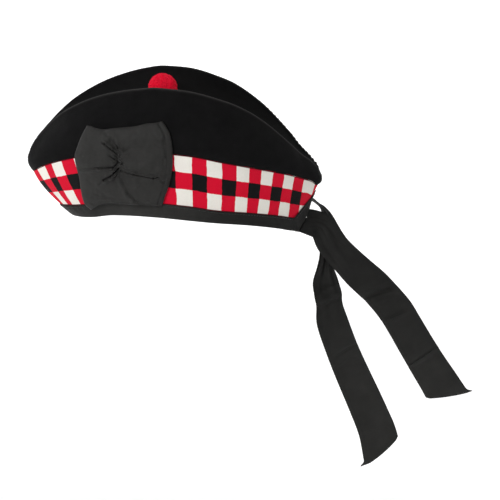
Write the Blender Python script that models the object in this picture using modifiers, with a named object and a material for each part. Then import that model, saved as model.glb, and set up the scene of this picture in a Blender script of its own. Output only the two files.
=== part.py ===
"""A glengarry cap in separate solids: felt crown, diced band, ribbon binding, toorie, cockade, tails.

The front of the cap points along -Y, the wearer's left is +X and up is +Z. The origin is the centre
of the head opening, at the height of the rim's front and back. Lengths are in metres.
"""
import math

import bmesh
import bpy
import numpy as np
from mathutils import Vector
from mathutils.bvhtree import BVHTree

MM = 0.001

# Head opening
RIM_LENGTH = 218 * MM
RIM_WIDTH = 144 * MM
RIM_ARCH = 16.8 * MM           # the rim's sides stand this far above its back

# Diced band
BAND_WALL = 2.5 * MM
BAND_FRONT_RISE = 35.7 * MM
BAND_SIDE_RISE = 57.6 * MM
BAND_BACK_RISE = 39.3 * MM
BAND_FRONT_FLARE = 33.3 * MM   # how far the band's top stands outside its rim
BAND_SIDE_FLARE = 2 * MM
BAND_BACK_FLARE = 8.7 * MM
BAND_BELLY = 1.2 * MM
BAND_FRONT_BELLY = 4.8 * MM    # how far the band's front swells out
BAND_BACK_HOLLOW = 2 * MM      # how far the back seam curves in
BAND_BACK_POINT = 0.6          # 0 is a round back, 1 a sharp one

# Vent, the notch behind
VENT_WIDTH = 52 * MM
VENT_HEIGHT = 19 * MM

# Felt crown
CROWN_WALL = 2 * MM
CROWN_PEAK = 131 * MM          # height of the ridges above the rim's front
CROWN_WIDTH = 117 * MM         # from ridge to ridge
CROWN_SWELL = 4.5 * MM
PROW_REACH = 5.7 * MM          # how far the prow and the stern stand past the band
PROW_RISE = 13.8 * MM
STERN_REACH = 2.6 * MM
STERN_RISE = 9.2 * MM
NOSE_SWELL = 1.2 * MM          # how much fuller the prow and the stern are than the rest
NOSE_ROUND = 1.7 * MM
VALLEY_DEPTH = 24 * MM
RIDGE_ROUND = 5 * MM

# Ribbons
TAPE = 1 * MM
BINDING_DEPTH = 11 * MM
VENT_BINDING = 12.5 * MM       # its depth along the vent's edges
BINDING_GAP = 0.6 * MM         # between the binding and the band inside it
TAIL_WIDTH = 31.5 * MM
LEFT_TAIL_REACH = 142 * MM     # how far the tails' ends lie behind and below the vent's top
LEFT_TAIL_DROP = 170.5 * MM
RIGHT_TAIL_REACH = 86 * MM
RIGHT_TAIL_DROP = 230 * MM
TAIL_END_SLANT = 16 * MM
TAIL_CUP = 1.2 * MM

# Cockade
COCKADE_WIDTH = 86.5 * MM
COCKADE_HEIGHT = 76 * MM
COCKADE_BACK = -57 * MM        # its middle, measured back from the origin
COCKADE_UP = 62.5 * MM
COCKADE_PUFF = 6.5 * MM
COCKADE_FLAT = 1.7 * MM        # between the ribbon's two layers where it is pressed flat
COCKADE_BRIDGE = 4 * MM        # steps in the cap's side narrower than this are bridged by the ribbon
COCKADE_COLUMNS = 20
COCKADE_LEVELS = 12

# Toorie
TOORIE_DIAMETER = 27 * MM
TOORIE_BACK = -28 * MM
TOORIE_TUFT = 1.3 * MM
TOORIE_TUFTS = 162

GAP = 0.3 * MM
COLUMNS = 30                   # columns of faces on half of the cap
MERGE = 0.00002

# The band's edges, from the back (around 0) to the front (around 1): the rim's arch and the top edge's
# climb as shares of what they reach at the side, and the binding's depth as a share of its own.
EDGE_COLUMNS = ("around", "arch", "climb", "lap")
BAND_EDGES = (
    (0.000, 0.000, 0.000, 1.00),
    (0.050, 0.010, 0.030, 1.00),
    (0.100, 0.075, 0.163, 1.00),
    (0.160, 0.240, 0.290, 0.97),
    (0.220, 0.465, 0.440, 0.95),
    (0.290, 0.670, 0.600, 0.95),
    (0.350, 0.795, 0.728, 0.95),
    (0.420, 0.875, 0.866, 0.98),
    (0.500, 0.965, 1.000, 1.12),
    (0.560, 1.000, 1.025, 1.13),
    (0.620, 0.965, 0.985, 1.13),
    (0.700, 0.810, 0.830, 1.12),
    (0.780, 0.465, 0.600, 1.10),
    (0.845, 0.280, 0.400, 1.05),
    (0.900, 0.205, 0.225, 0.93),
    (0.940, 0.205, 0.115, 0.78),
    (0.970, 0.225, 0.055, 0.68),
    (1.000, 0.240, 0.000, 0.64),
)

# The ridge, from the stern (along 0) to the prow (along 1): its spread as a share of half the crown's
# width, its height as a share of the way from the ends up to the peak, and the valley's sink.
RIDGE_COLUMNS = ("along", "spread", "height", "sink")
RIDGE = (
    (0.000, 0.00, 0.000, 0.00),
    (0.005, 0.05, 0.035, 0.00),
    (0.014, 0.09, 0.098, 0.02),
    (0.030, 0.145, 0.156, 0.06),
    (0.047, 0.20, 0.207, 0.12),
    (0.070, 0.28, 0.264, 0.20),
    (0.110, 0.42, 0.383, 0.34),
    (0.190, 0.62, 0.610, 0.60),
    (0.265, 0.78, 0.775, 0.82),
    (0.340, 0.91, 0.885, 0.95),
    (0.490, 1.00, 0.990, 1.00),
    (0.560, 0.98, 1.000, 1.00),
    (0.635, 0.90, 0.966, 0.96),
    (0.710, 0.77, 0.898, 0.82),
    (0.785, 0.60, 0.790, 0.62),
    (0.860, 0.38, 0.636, 0.36),
    (0.905, 0.20, 0.502, 0.12),
    (0.940, 0.10, 0.368, 0.03),
    (0.953, 0.09, 0.313, 0.01),
    (0.969, 0.08, 0.243, 0.00),
    (0.982, 0.08, 0.172, 0.00),
    (0.992, 0.075, 0.102, 0.00),
    (0.9975, 0.06, 0.032, 0.00),
    (1.000, 0.00, 0.000, 0.00),
)

# The cockade's two side edges, from its lower edge (up 0) to its upper one (up 1), in half widths.
SIDE_COLUMNS = ("up", "front", "back")
COCKADE_SIDES = (
    (0.00, -0.642, 0.830),
    (0.06, -0.789, 0.860),
    (0.11, -0.825, 0.880),
    (0.24, -0.877, 0.945),
    (0.37, -0.913, 0.992),
    (0.50, -0.980, 1.004),
    (0.64, -1.027, 0.992),
    (0.73, -0.988, 0.975),
    (0.85, -0.924, 0.925),
    (0.94, -0.855, 0.833),
    (1.00, -0.802, 0.741),
)
# Its lower and upper edges, from front (across 0) to back (across 1), in half heights.
HEM_COLUMNS = ("across", "low", "high")
COCKADE_HEMS = (
    (0.00, -1.225, 0.786),
    (0.06, -1.130, 0.784),
    (0.13, -1.040, 0.762),
    (0.21, -0.985, 0.760),
    (0.36, -0.945, 0.820),
    (0.57, -0.930, 0.893),
    (0.66, -0.910, 0.928),
    (0.80, -0.905, 1.008),
    (0.94, -0.912, 1.052),
    (1.00, -0.907, 1.094),
)
# Folds that run out from the gather: both ends in half widths and heights from the middle, the
# fold's depth as a share of the puff, and its half breadth in half widths.
FOLD_COLUMNS = ("back_1", "up_1", "back_2", "up_2", "depth", "breadth")
COCKADE_FOLDS = (
    (-0.14, 0.27, -0.44, 0.49, 0.45, 0.075),
    (-0.13, 0.43, -0.43, 0.78, 0.35, 0.080),
    (-0.22, -0.08, -0.88, -0.24, 0.45, 0.075),
    (-0.10, -0.12, -0.47, -0.54, 0.45, 0.075),
    (-0.04, -0.14, 0.65, -0.23, 0.40, 0.075),
    (-0.05, -0.27, 0.30, -0.81, 0.40, 0.080),
    (0.00, 0.39, 0.24, 0.47, 0.30, 0.090),
)
GATHER = {"back": -0.09, "up": 0.0, "half_width": 0.17, "half_height": 0.34, "depth": 0.85}

# A tail's stations from the vent to its end: back and down as shares of its reach and drop, its
# distance to the left of the middle in half rim widths, its width as a share, and its roll in degrees.
STATION_COLUMNS = ("back", "down", "side", "width", "roll")
LEFT_TAIL = (
    (0.060, 0.080, 0.150, 0.93, -34),
    (0.098, 0.105, 0.104, 0.85, -20),
    (0.137, 0.158, 0.069, 0.78, -10),
    (0.184, 0.212, 0.056, 0.80, 0),
    (0.252, 0.270, 0.049, 0.88, 2),
    (0.343, 0.342, 0.056, 0.95, 4),
    (0.476, 0.433, 0.063, 0.98, 6),
    (0.582, 0.524, 0.042, 0.98, 3),
    (0.669, 0.627, 0.000, 1.01, -3),
    (0.753, 0.736, -0.028, 1.05, -5),
    (0.835, 0.841, -0.028, 1.07, -3),
    (0.917, 0.929, 0.000, 1.07, 0),
    (0.997, 1.007, 0.028, 1.05, 4),
)
RIGHT_TAIL = (
    (0.088, -0.002, -0.135, 0.56, 76),
    (0.147, 0.015, -0.125, 0.58, 74),
    (0.193, 0.043, -0.105, 0.60, 55),
    (0.222, 0.081, -0.080, 0.62, 28),
    (0.234, 0.123, -0.060, 0.60, 10),
    (0.238, 0.170, -0.045, 0.54, 0),
    (0.230, 0.222, -0.045, 0.50, 0),
    (0.222, 0.272, -0.050, 0.64, -6),
    (0.228, 0.322, -0.055, 0.76, -10),
    (0.276, 0.404, -0.055, 0.81, -14),
    (0.352, 0.504, -0.050, 0.95, -8),
    (0.518, 0.643, -0.042, 1.00, 5),
    (0.737, 0.800, -0.014, 1.03, -3),
    (0.911, 0.935, 0.028, 1.06, -6),
    (0.990, 1.000, 0.042, 1.06, -6),
)
TAIL_STEPS = 34
TAIL_STRIPS = 4


def clear_scene():
    """Empties the file, so the script can be run again."""
    for thing in list(bpy.data.objects):
        bpy.data.objects.remove(thing, do_unlink=True)


def read_column(table, names, key, column, at):
    """Reads one column of a table between its rows, on a smooth curve that never overshoots."""
    xs = [row[names.index(key)] for row in table]
    ys = [row[names.index(column)] for row in table]
    at = min(max(at, xs[0]), xs[-1])
    i = min(max(sum(1 for x in xs if x <= at) - 1, 0), len(xs) - 2)

    def slope(k):
        if k in (0, len(xs) - 1):
            j = min(k, len(xs) - 2)
            return (ys[j + 1] - ys[j]) / (xs[j + 1] - xs[j])
        before = (ys[k] - ys[k - 1]) / (xs[k] - xs[k - 1])
        after = (ys[k + 1] - ys[k]) / (xs[k + 1] - xs[k])
        return 0.0 if before * after <= 0 else 2 * before * after / (before + after)

    span = xs[i + 1] - xs[i]
    t = (at - xs[i]) / span
    return (ys[i] * (1 + 2 * t) * (1 - t) ** 2 + slope(i) * span * t * (1 - t) ** 2
            + ys[i + 1] * t * t * (3 - 2 * t) + slope(i + 1) * span * t * t * (t - 1))


def bezier(a, b, c, d, t):
    """A point of the cubic curve with these four control points."""
    return a * (1 - t) ** 3 + b * 3 * t * (1 - t) ** 2 + c * 3 * t * t * (1 - t) + d * t ** 3


def unit(vector):
    return vector / np.linalg.norm(vector)


def edge_share(column, angle):
    """One column of the band's edges at an angle, which may pass the middle in front or behind."""
    around = abs(angle) / math.pi
    return read_column(BAND_EDGES, EDGE_COLUMNS, "around", column, 2 - around if around > 1 else around)


def band_face(angle, rise):
    """The band's outer face: angle 0 is the back and pi the front, rise 0 the rim and 1 the top."""
    s, c = math.sin(angle), math.cos(angle)
    behind = c > 0
    flare = BAND_BACK_FLARE if behind else BAND_FRONT_FLARE
    end_rise = BAND_BACK_RISE if behind else BAND_FRONT_RISE
    taper = 1 - BAND_BACK_POINT * (1 - abs(s)) if behind else 1
    side_top = RIM_ARCH + BAND_SIDE_RISE
    rim = np.array([RIM_WIDTH / 2 * s, RIM_LENGTH / 2 * c, RIM_ARCH * edge_share("arch", angle)])
    top = np.array([
        (RIM_WIDTH / 2 + BAND_SIDE_FLARE) * s * taper,
        (RIM_LENGTH / 2 + flare) * c,
        end_rise + (side_top - end_rise) * edge_share("climb", angle),
    ])
    end_belly = -BAND_BACK_HOLLOW if behind else BAND_FRONT_BELLY
    belly = (BAND_BELLY * abs(s) + end_belly * c ** 4) * 4 * rise * (1 - rise)
    return rim + (top - rim) * rise + belly * np.array([s, c, 0])


def band_axes(angle, rise):
    """The outward and the upward direction of the band's face."""
    step = 0.001
    along = band_face(angle + step, rise) - band_face(angle - step, rise)
    up = band_face(angle, rise + step) - band_face(angle, rise - step)
    return unit(np.cross(up, along)), unit(up)


def band_point(angle, rise, out=0.0):
    """A point of the band's face moved outward."""
    return band_face(angle, rise) + band_axes(angle, rise)[0] * out


def back_angle(x, rise):
    """The angle at which the back of the band lies this far from the middle."""
    low, high = 0.0, math.pi / 2
    for _ in range(40):
        middle = (low + high) / 2
        if band_face(middle, rise)[0] < x:
            low = middle
        else:
            high = middle
    return high


def vent_rise():
    """The vent's height as a share of the band's."""
    return VENT_HEIGHT / BAND_BACK_RISE


def vent_angle(rise):
    """The angle of the vent's edge, which closes at the vent's top."""
    if rise >= vent_rise():
        return 0.0
    return back_angle(VENT_WIDTH / 2 * (1 - rise / vent_rise()), rise)


def ridge(angle):
    """The ridge beside a band angle: its point, its spread and the valley's sink there."""
    along = (1 - math.cos(angle)) / 2
    stern = np.array([0, RIM_LENGTH / 2 + BAND_BACK_FLARE + STERN_REACH, BAND_BACK_RISE + STERN_RISE])
    prow = np.array([0, -RIM_LENGTH / 2 - BAND_FRONT_FLARE - PROW_REACH, BAND_FRONT_RISE + PROW_RISE])
    spread = read_column(RIDGE, RIDGE_COLUMNS, "along", "spread", along)
    height = read_column(RIDGE, RIDGE_COLUMNS, "along", "height", along)
    sink = read_column(RIDGE, RIDGE_COLUMNS, "along", "sink", along)
    point = stern + (prow - stern) * along
    point[2] += (CROWN_PEAK - point[2]) * height
    point[0] = CROWN_WIDTH / 2 * spread
    return point, spread, VALLEY_DEPTH * sink


def crown_profile(angle):
    """One rib of the crown, from the band's top up to the ridge and down to the valley's middle."""
    out, up = band_axes(angle, 1)
    foot = band_face(angle, 1) + up * GAP
    top, spread, sink = ridge(angle)
    reach = np.linalg.norm(top - foot)
    fullness = 0.25 + 0.75 * math.sin(angle)
    nose = math.cos(angle) ** 16
    first = foot + up * reach * (0.3 + 0.06 * nose) + out * (CROWN_SWELL * fullness + NOSE_SWELL * nose)
    second = top + (foot - top) * 0.3 + out * (RIDGE_ROUND * fullness + NOSE_ROUND * nose)
    side = [bezier(foot, first, second, top, t) for t in np.linspace(0, 1, 7)]
    valley = []
    for share in (0.86, 0.62, 0.36, 0.15, 0.0):
        point = top * np.array([share, 1, 1])
        point[2] -= sink * (1 - share ** 1.6)
        valley.append(point)
    return side + valley


def half_angles(rise=1.0):
    """The angles of half of the cap's columns at one height, from the vent or seam to the front."""
    return np.linspace(vent_angle(rise), math.pi, COLUMNS + 1)


def faces_of(rows, columns, closed=False):
    """Quads between neighbouring rows of points, numbered row by row."""
    last = rows if closed else rows - 1
    quads = []
    for i in range(last):
        for j in range(columns - 1):
            low, high = i * columns, (i + 1) % rows * columns
            quads.append((low + j, high + j, high + j + 1, low + j + 1))
    return quads


class Sheet:
    """Rows of points with quads between them; the faces look to the right of a column going up."""

    def __init__(self, rows, closed=False):
        self.points = [tuple(point) for row in rows for point in row]
        self.faces = faces_of(len(rows), len(rows[0]), closed)

    def tree(self):
        return BVHTree.FromPolygons(self.points, self.faces)

    def mesh(self, name):
        shape = bmesh.new()
        verts = [shape.verts.new(point) for point in self.points]
        for face in self.faces:
            shape.faces.new([verts[i] for i in face])
        bmesh.ops.remove_doubles(shape, verts=shape.verts, dist=MERGE)
        bmesh.ops.dissolve_degenerate(shape, edges=shape.edges, dist=MERGE)
        mesh = bpy.data.meshes.new(name)
        shape.to_mesh(mesh)
        shape.free()
        return mesh


def finish_material(name, colour, roughness, sheen=0.0):
    """A plain cloth finish in the cap's colour."""
    material = bpy.data.materials.new(name)
    material.use_nodes = True
    shader = material.node_tree.nodes["Principled BSDF"]
    shader.inputs["Base Color"].default_value = (*colour, 1)
    shader.inputs["Roughness"].default_value = roughness
    shader.inputs["Metallic"].default_value = 0
    shader.inputs["Sheen Weight"].default_value = sheen
    material.diffuse_color = (*colour, 1)
    return material


def add_piece(name, mesh, material, collection):
    """Puts a mesh into the scene as one named piece."""
    piece = bpy.data.objects.new(name, mesh)
    piece.data.materials.append(material)
    piece.data.shade_smooth()
    piece.data.set_sharp_from_angle(angle=math.radians(50))
    collection.objects.link(piece)
    return piece


def mirror_across(piece):
    """Completes a half that is open at the plane between left and right."""
    mirror = piece.modifiers.new("other half", "MIRROR")
    mirror.use_axis = (True, False, False)
    mirror.use_clip = True
    mirror.merge_threshold = 0.0001


def thicken(piece, wall, offset):
    """Gives a sheet its cloth thickness."""
    shell = piece.modifiers.new("cloth", "SOLIDIFY")
    shell.thickness = wall
    shell.offset = offset
    shell.use_even_offset = False
    shell.use_quality_normals = True


def crown_rows():
    ribs = [crown_profile(angle) for angle in half_angles()]
    return [[rib[k] for rib in ribs] for k in range(len(ribs[0]))]


def band_rows():
    notch = vent_rise()
    rises = (0, notch / 4, notch / 2, notch * 3 / 4, notch, (1 + notch) / 2, 1)
    return [[band_point(angle, rise) for angle in half_angles(rise)] for rise in rises]


def make_crown(collection):
    """The felt crown: its rows run from the band's top over the ridge into the valley."""
    material = finish_material("black felt", (0.009, 0.009, 0.010), 0.95, 0.3)
    piece = add_piece("crown", Sheet(crown_rows()).mesh("crown"), material, collection)
    mirror_across(piece)
    thicken(piece, CROWN_WALL, -1)


def make_band(collection):
    """The diced band, notched behind by the vent and closed above it by the back seam."""
    material = finish_material("diced wool", (0.55, 0.02, 0.04), 0.9, 0.2)
    piece = add_piece("diced_band", Sheet(band_rows()).mesh("diced_band"), material, collection)
    mirror_across(piece)
    thicken(piece, BAND_WALL, -1)


def binding_path():
    """The bound edge and the binding's inner boundary as (angle, rise), with its depth, front to vent top."""
    half = VENT_WIDTH / 2
    slope = math.hypot(half, VENT_HEIGHT)
    shift_x = VENT_BINDING * VENT_HEIGHT / slope
    shift_up = VENT_BINDING * half / slope
    corner_x = half + shift_x - half * (BINDING_DEPTH - shift_up) / VENT_HEIGHT
    top_up = shift_up + (half + shift_x) * VENT_HEIGHT / half

    def inner_edge(angle):
        height = np.linalg.norm(band_face(angle, 1) - band_face(angle, 0))
        reach = BINDING_DEPTH * edge_share("lap", angle)
        return (angle, reach / height), reach

    corner = vent_angle(0)
    inner_corner = back_angle(corner_x, 0.25)
    corner_rise = inner_edge(inner_corner)[0][1]
    path = []
    for share in np.linspace(0, 1, COLUMNS + 1):
        edge = math.pi + (corner - math.pi) * share
        inner = math.pi + (inner_corner - math.pi) * share
        path.append(((edge, 0.0), *inner_edge(inner)))
    for share in (0.2, 0.4, 0.6, 0.8, 1.0):
        rise = vent_rise() * share
        inner_rise = corner_rise + (top_up / BAND_BACK_RISE - corner_rise) * share
        inner_angle = back_angle(corner_x * (1 - share), inner_rise) if share < 1 else 0.0
        path.append(((vent_angle(rise), rise), (inner_angle, inner_rise), VENT_BINDING))
    return path


def beyond_edge(edge, inner, reach, depth, out):
    """A point this deep in from the bound edge, or past it where depth is negative."""
    edge, inner = np.array(edge), np.array(inner)
    angle, rise = edge + (inner - edge) * depth / reach
    return band_point(max(angle, 0.0), rise, out)


def binding_section(edge, inner, reach):
    """The ribbon folded over the edge, as points that run round its outer and inner face."""

    def at(depth, out):
        return beyond_edge(edge, inner, reach, depth, out)

    near, far = BINDING_GAP, BINDING_GAP + TAPE
    middle = reach / 2
    back = -BAND_WALL
    outer_face = [at(reach, far), at(middle, far), at(-near, far)]
    fold = [at(-far, near), at(-far, back - near)]
    inner_face = [at(-near, back - far), at(middle, back - far), at(reach, back - far)]
    lining = [at(reach, back - near), at(middle, back - near), at(-near, back - near)]
    facing = [at(-near, near), at(middle, near), at(reach, near)]
    return outer_face + fold + inner_face + lining + facing


def binding_rows():
    sections = [binding_section(*place) for place in binding_path()]
    return [[section[k] for section in sections] for k in range(len(sections[0]))]


def make_binding(collection):
    """The binding goes round the rim and up both edges of the vent."""
    material = finish_material("charcoal ribbon", (0.022, 0.022, 0.021), 0.6)
    mesh = Sheet(binding_rows(), closed=True).mesh("edge_binding")
    piece = add_piece("edge_binding", mesh, material, collection)
    mirror_across(piece)


def crown_top(tree, x, y):
    """The height of the crown's upper face over a place in the valley."""
    hit = tree.ray_cast(Vector((abs(x), y, 2 * CROWN_PEAK)), Vector((0, 0, -1)))[0]
    return hit.z


def make_toorie(collection, crown_tree):
    """A wool ball of fused tufts, pressed flat where it sits in the valley."""
    radius = TOORIE_DIAMETER / 2
    shape = bmesh.new()
    bmesh.ops.create_icosphere(shape, subdivisions=3, radius=radius - TOORIE_TUFT)
    tips = set(list(shape.verts)[:TOORIE_TUFTS])
    seat = crown_top(crown_tree, 0, TOORIE_BACK) + GAP
    middle = Vector((0, TOORIE_BACK, seat + radius * 0.93))
    for number, vert in enumerate(shape.verts):
        lift = TOORIE_TUFT * (1.0 + 0.5 * math.sin(number * 2.4)) if vert in tips else 0.0
        vert.co = middle + vert.co + vert.normal * lift
        floor = crown_top(crown_tree, vert.co.x, vert.co.y) + 2 * GAP
        vert.co.z = max(vert.co.z, floor)
    mesh = bpy.data.meshes.new("toorie")
    shape.to_mesh(mesh)
    shape.free()
    material = finish_material("red wool", (0.62, 0.008, 0.035), 0.95, 0.4)
    add_piece("toorie", mesh, material, collection)


def side_wall(trees, y, z):
    """How far the cap's left side stands out at a place, with what lies just round it."""
    reach = 0.0
    for dy, dz in ((0, 0), (1, 0), (-1, 0), (0, 1), (0, -1)):
        start = Vector((RIM_WIDTH, y + dy * COCKADE_BRIDGE, z + dz * COCKADE_BRIDGE))
        for tree in trees:
            hit = tree.ray_cast(start, Vector((-1, 0, 0)))[0]
            if hit:
                reach = max(reach, hit.x)
    return reach


def cockade_place(across, up):
    """Where a point of the cockade's outline grid lies, as back and up from the origin."""
    half_width, half_height = COCKADE_WIDTH / 2, COCKADE_HEIGHT / 2
    front = read_column(COCKADE_SIDES, SIDE_COLUMNS, "up", "front", up)
    back = read_column(COCKADE_SIDES, SIDE_COLUMNS, "up", "back", up)
    low = read_column(COCKADE_HEMS, HEM_COLUMNS, "across", "low", across)
    high = read_column(COCKADE_HEMS, HEM_COLUMNS, "across", "high", across)
    return half_width * (front + (back - front) * across), half_height * (low + (high - low) * up)


def distance_to_line(point, start, end):
    """The distance of a point from a stretch of line, all in the cockade's own plane."""
    line = end - start
    share = min(max(float((point - start) @ line / (line @ line)), 0), 1)
    return np.linalg.norm(point - start - line * share)


def cockade_depth(across, up):
    """How far the front layer stands off the back one, with the gather and its folds."""
    half_width, half_height = COCKADE_WIDTH / 2, COCKADE_HEIGHT / 2
    back, height = cockade_place(across, up)
    edge = (1 - abs(2 * across - 1) ** 3) ** 0.7
    hem = 0.45 + 0.55 * math.sqrt(math.sin(math.pi * up))
    pull_x = (back / half_width - GATHER["back"]) / GATHER["half_width"]
    pull_z = (height / half_height - GATHER["up"]) / GATHER["half_height"]
    depth = edge * hem * (1 - GATHER["depth"] * math.exp(-pull_x ** 2 - pull_z ** 2))
    for back_1, up_1, back_2, up_2, fold, breadth in COCKADE_FOLDS:
        start = np.array([back_1 * half_width, up_1 * half_height])
        end = np.array([back_2 * half_width, up_2 * half_height])
        away = distance_to_line(np.array([back, height]), start, end)
        depth -= fold * edge * math.exp(-(away / (breadth * half_width)) ** 2)
    return COCKADE_FLAT + COCKADE_PUFF * max(depth, 0)


def make_cockade(collection, trees):
    """A wide ribbon in a flattened loop: a puffed front layer and a back layer on the cap's side."""
    rows = []
    for up in np.linspace(0, 1, COCKADE_LEVELS + 1):
        front_layer, back_layer = [], []
        for across in np.linspace(0, 1, COCKADE_COLUMNS + 1):
            back, height = cockade_place(across, up)
            y, z = COCKADE_BACK + back, COCKADE_UP + height
            wall = side_wall(trees, y, z) + 2 * GAP + TAPE / 2
            back_layer.append((wall, y, z))
            front_layer.append((wall + cockade_depth(across, up), y, z))
        rows.append(front_layer + back_layer[::-1] + [front_layer[0]])
    mesh = Sheet([row[::-1] for row in rows]).mesh("cockade")
    material = finish_material("charcoal cockade ribbon", (0.035, 0.034, 0.032), 0.5)
    piece = add_piece("cockade", mesh, material, collection)
    thicken(piece, TAPE, 0)


def smooth_stations(stations, steps):
    """Points on a smooth curve through rows of numbers, evenly spaced between the first and last."""
    rows = np.array(stations)
    padded = np.vstack([2 * rows[0] - rows[1], rows, 2 * rows[-1] - rows[-2]])
    fine = []
    for i in range(1, len(padded) - 2):
        p0, p1, p2, p3 = padded[i - 1:i + 3]
        for t in np.linspace(0, 1, 12, endpoint=False):
            fine.append(0.5 * (2 * p1 + (p2 - p0) * t + (2 * p0 - 5 * p1 + 4 * p2 - p3) * t ** 2
                               + (3 * p1 - p0 - 3 * p2 + p3) * t ** 3))
    fine.append(rows[-1])
    fine = np.array(fine)
    lengths = np.concatenate([[0], np.cumsum(np.linalg.norm(np.diff(fine[:, :3], axis=0), axis=1))])
    even = np.linspace(0, lengths[-1], steps + 1)
    return np.array([[np.interp(at, lengths, fine[:, k]) for k in range(fine.shape[1])] for at in even])


def tail_stations(table, reach, drop, roots):
    """A tail's middle line and half widths; roots are its first pairs of edge points, upper and lower."""
    start = band_face(0, vent_rise())
    centres = [(high + low) / 2 for high, low in roots]
    for back, down, side, _, _ in table:
        centres.append(start + np.array([side * RIM_WIDTH / 2, back * reach, -down * drop]))
    halves = [(high - low) / 2 for high, low in roots]
    for i, (_, _, _, width, roll) in enumerate(table, start=len(roots)):
        ahead = centres[min(i + 1, len(centres) - 1)] - centres[i - 1]
        heading = unit(ahead)
        facing = unit(np.array([1, 0, 0]) - heading * heading[0])
        across = np.cross(facing, heading)
        turn = math.radians(roll)
        half = across * math.cos(turn) + facing * math.sin(turn)
        halves.append(half * TAIL_WIDTH / 2 * width)
    return [np.concatenate([centre, half]) for centre, half in zip(centres, halves)]


def make_tail(name, table, reach, drop, roots, outward, collection, material):
    """One hanging ribbon, sewn on at the vent and cut on the slant; outward is 1 for the left one."""
    stations = tail_stations(table, reach, drop, roots)
    sewn = len(roots) - 1
    stations = stations[:sewn] + list(smooth_stations(stations[sewn:], TAIL_STEPS))
    rows = []
    for i, station in enumerate(stations):
        centre, half = station[:3], station[3:]
        before = stations[max(i - 1, 0)][:3]
        after = stations[min(i + 1, len(stations) - 1)][:3]
        heading = unit(after - before)
        facing = unit(np.cross(heading, half))
        free = min(max((i - sewn) / 4, 0), 1)
        late = min(max((i / (len(stations) - 1) - 0.8) / 0.2, 0), 1)
        row = []
        for share in np.linspace(-1, 1, TAIL_STRIPS + 1):
            cup = facing * outward * free * TAIL_CUP * (1 - share * share)
            row.append(centre + half * share + cup + heading * share * outward * TAIL_END_SLANT / 2 * late)
        rows.append(row)
    piece = add_piece(name, Sheet(rows).mesh(name), material, collection)
    thicken(piece, TAPE, 0)


def notch_roots():
    """The left tail's first edges, which run through the vent from inside, clear of the binding."""
    path = binding_path()
    depth = -BINDING_GAP - 2 * TAPE - 2 * GAP
    outs = (-BAND_WALL - BINDING_GAP - TAPE, BINDING_GAP + 2 * TAPE)
    return [[beyond_edge(*path[k], depth, out) for k in (-2, -6)] for out in outs]


def lapped_roots():
    """The right tail's first edge, laid over the binding above the vent's right edge."""
    out = BINDING_GAP + 3 * TAPE
    top = band_point(back_angle(TAPE, vent_rise()), vent_rise() * 1.4, out)
    low = band_point(back_angle(VENT_WIDTH / 3, vent_rise()), vent_rise() * 1.15, out)
    swap = np.array([-1, 1, 1])
    return [[top * swap, low * swap]]


def make_tails(collection):
    """The two tails cross behind the vent, the left one outside."""
    material = finish_material("charcoal tail ribbon", (0.020, 0.020, 0.020), 0.55)
    make_tail("tail_left", LEFT_TAIL, LEFT_TAIL_REACH, LEFT_TAIL_DROP, notch_roots(), 1,
              collection, material)
    make_tail("tail_right", RIGHT_TAIL, RIGHT_TAIL_REACH, RIGHT_TAIL_DROP, lapped_roots(), -1,
              collection, material)


def main():
    clear_scene()
    collection = bpy.data.collections.new("glengarry cap")
    bpy.context.scene.collection.children.link(collection)
    crown_tree = Sheet(crown_rows()).tree()
    trees = (crown_tree, Sheet(band_rows()).tree(), Sheet(binding_rows(), closed=True).tree())
    make_crown(collection)
    make_band(collection)
    make_binding(collection)
    make_toorie(collection, crown_tree)
    make_cockade(collection, trees)
    make_tails(collection)


main()
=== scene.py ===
# %% [markdown]
# This file dresses the packed solids of a glengarry cap. A glengarry is a folded felt cap: a band stands
# round the head, and the crown above it falls into two ridges with a valley between them. The solids are
# already the right size, so they come in first as a fixed frame, and every finer piece is drawn on it.

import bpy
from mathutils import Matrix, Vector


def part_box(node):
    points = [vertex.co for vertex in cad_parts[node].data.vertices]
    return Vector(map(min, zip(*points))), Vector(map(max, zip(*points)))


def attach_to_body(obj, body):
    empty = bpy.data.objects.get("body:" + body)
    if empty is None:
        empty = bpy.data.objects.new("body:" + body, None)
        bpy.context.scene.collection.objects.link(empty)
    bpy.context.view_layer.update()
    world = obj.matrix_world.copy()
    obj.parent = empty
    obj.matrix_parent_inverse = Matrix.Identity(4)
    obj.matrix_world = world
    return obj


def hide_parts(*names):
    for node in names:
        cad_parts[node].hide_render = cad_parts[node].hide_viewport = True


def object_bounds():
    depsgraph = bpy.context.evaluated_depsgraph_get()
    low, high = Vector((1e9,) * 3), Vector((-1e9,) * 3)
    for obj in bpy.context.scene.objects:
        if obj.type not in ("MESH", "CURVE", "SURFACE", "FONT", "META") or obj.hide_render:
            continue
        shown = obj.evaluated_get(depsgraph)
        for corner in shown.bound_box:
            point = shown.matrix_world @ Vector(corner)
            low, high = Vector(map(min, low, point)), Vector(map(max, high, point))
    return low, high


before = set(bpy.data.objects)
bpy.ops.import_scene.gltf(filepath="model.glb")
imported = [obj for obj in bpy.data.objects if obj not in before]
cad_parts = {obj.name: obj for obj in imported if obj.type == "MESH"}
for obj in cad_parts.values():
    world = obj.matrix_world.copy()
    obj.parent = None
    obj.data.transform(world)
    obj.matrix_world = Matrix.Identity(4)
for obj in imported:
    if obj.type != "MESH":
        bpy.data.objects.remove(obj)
cad_low, cad_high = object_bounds()
print("frame:", sorted(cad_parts))

# %% [markdown]
# Everything is in metres. The front of the cap points along -Y, the wearer's left is +X and up is +Z, and
# the origin is the middle of the head opening. Meshes are worked out with numpy, a whole grid at a time,
# because loops over single points would be slow at this fineness.

# %% Modules and units
import math
from collections import namedtuple

import bmesh
import bpy
import numpy as np
from mathutils import Matrix, Vector, noise
from mathutils.bvhtree import BVHTree

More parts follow.
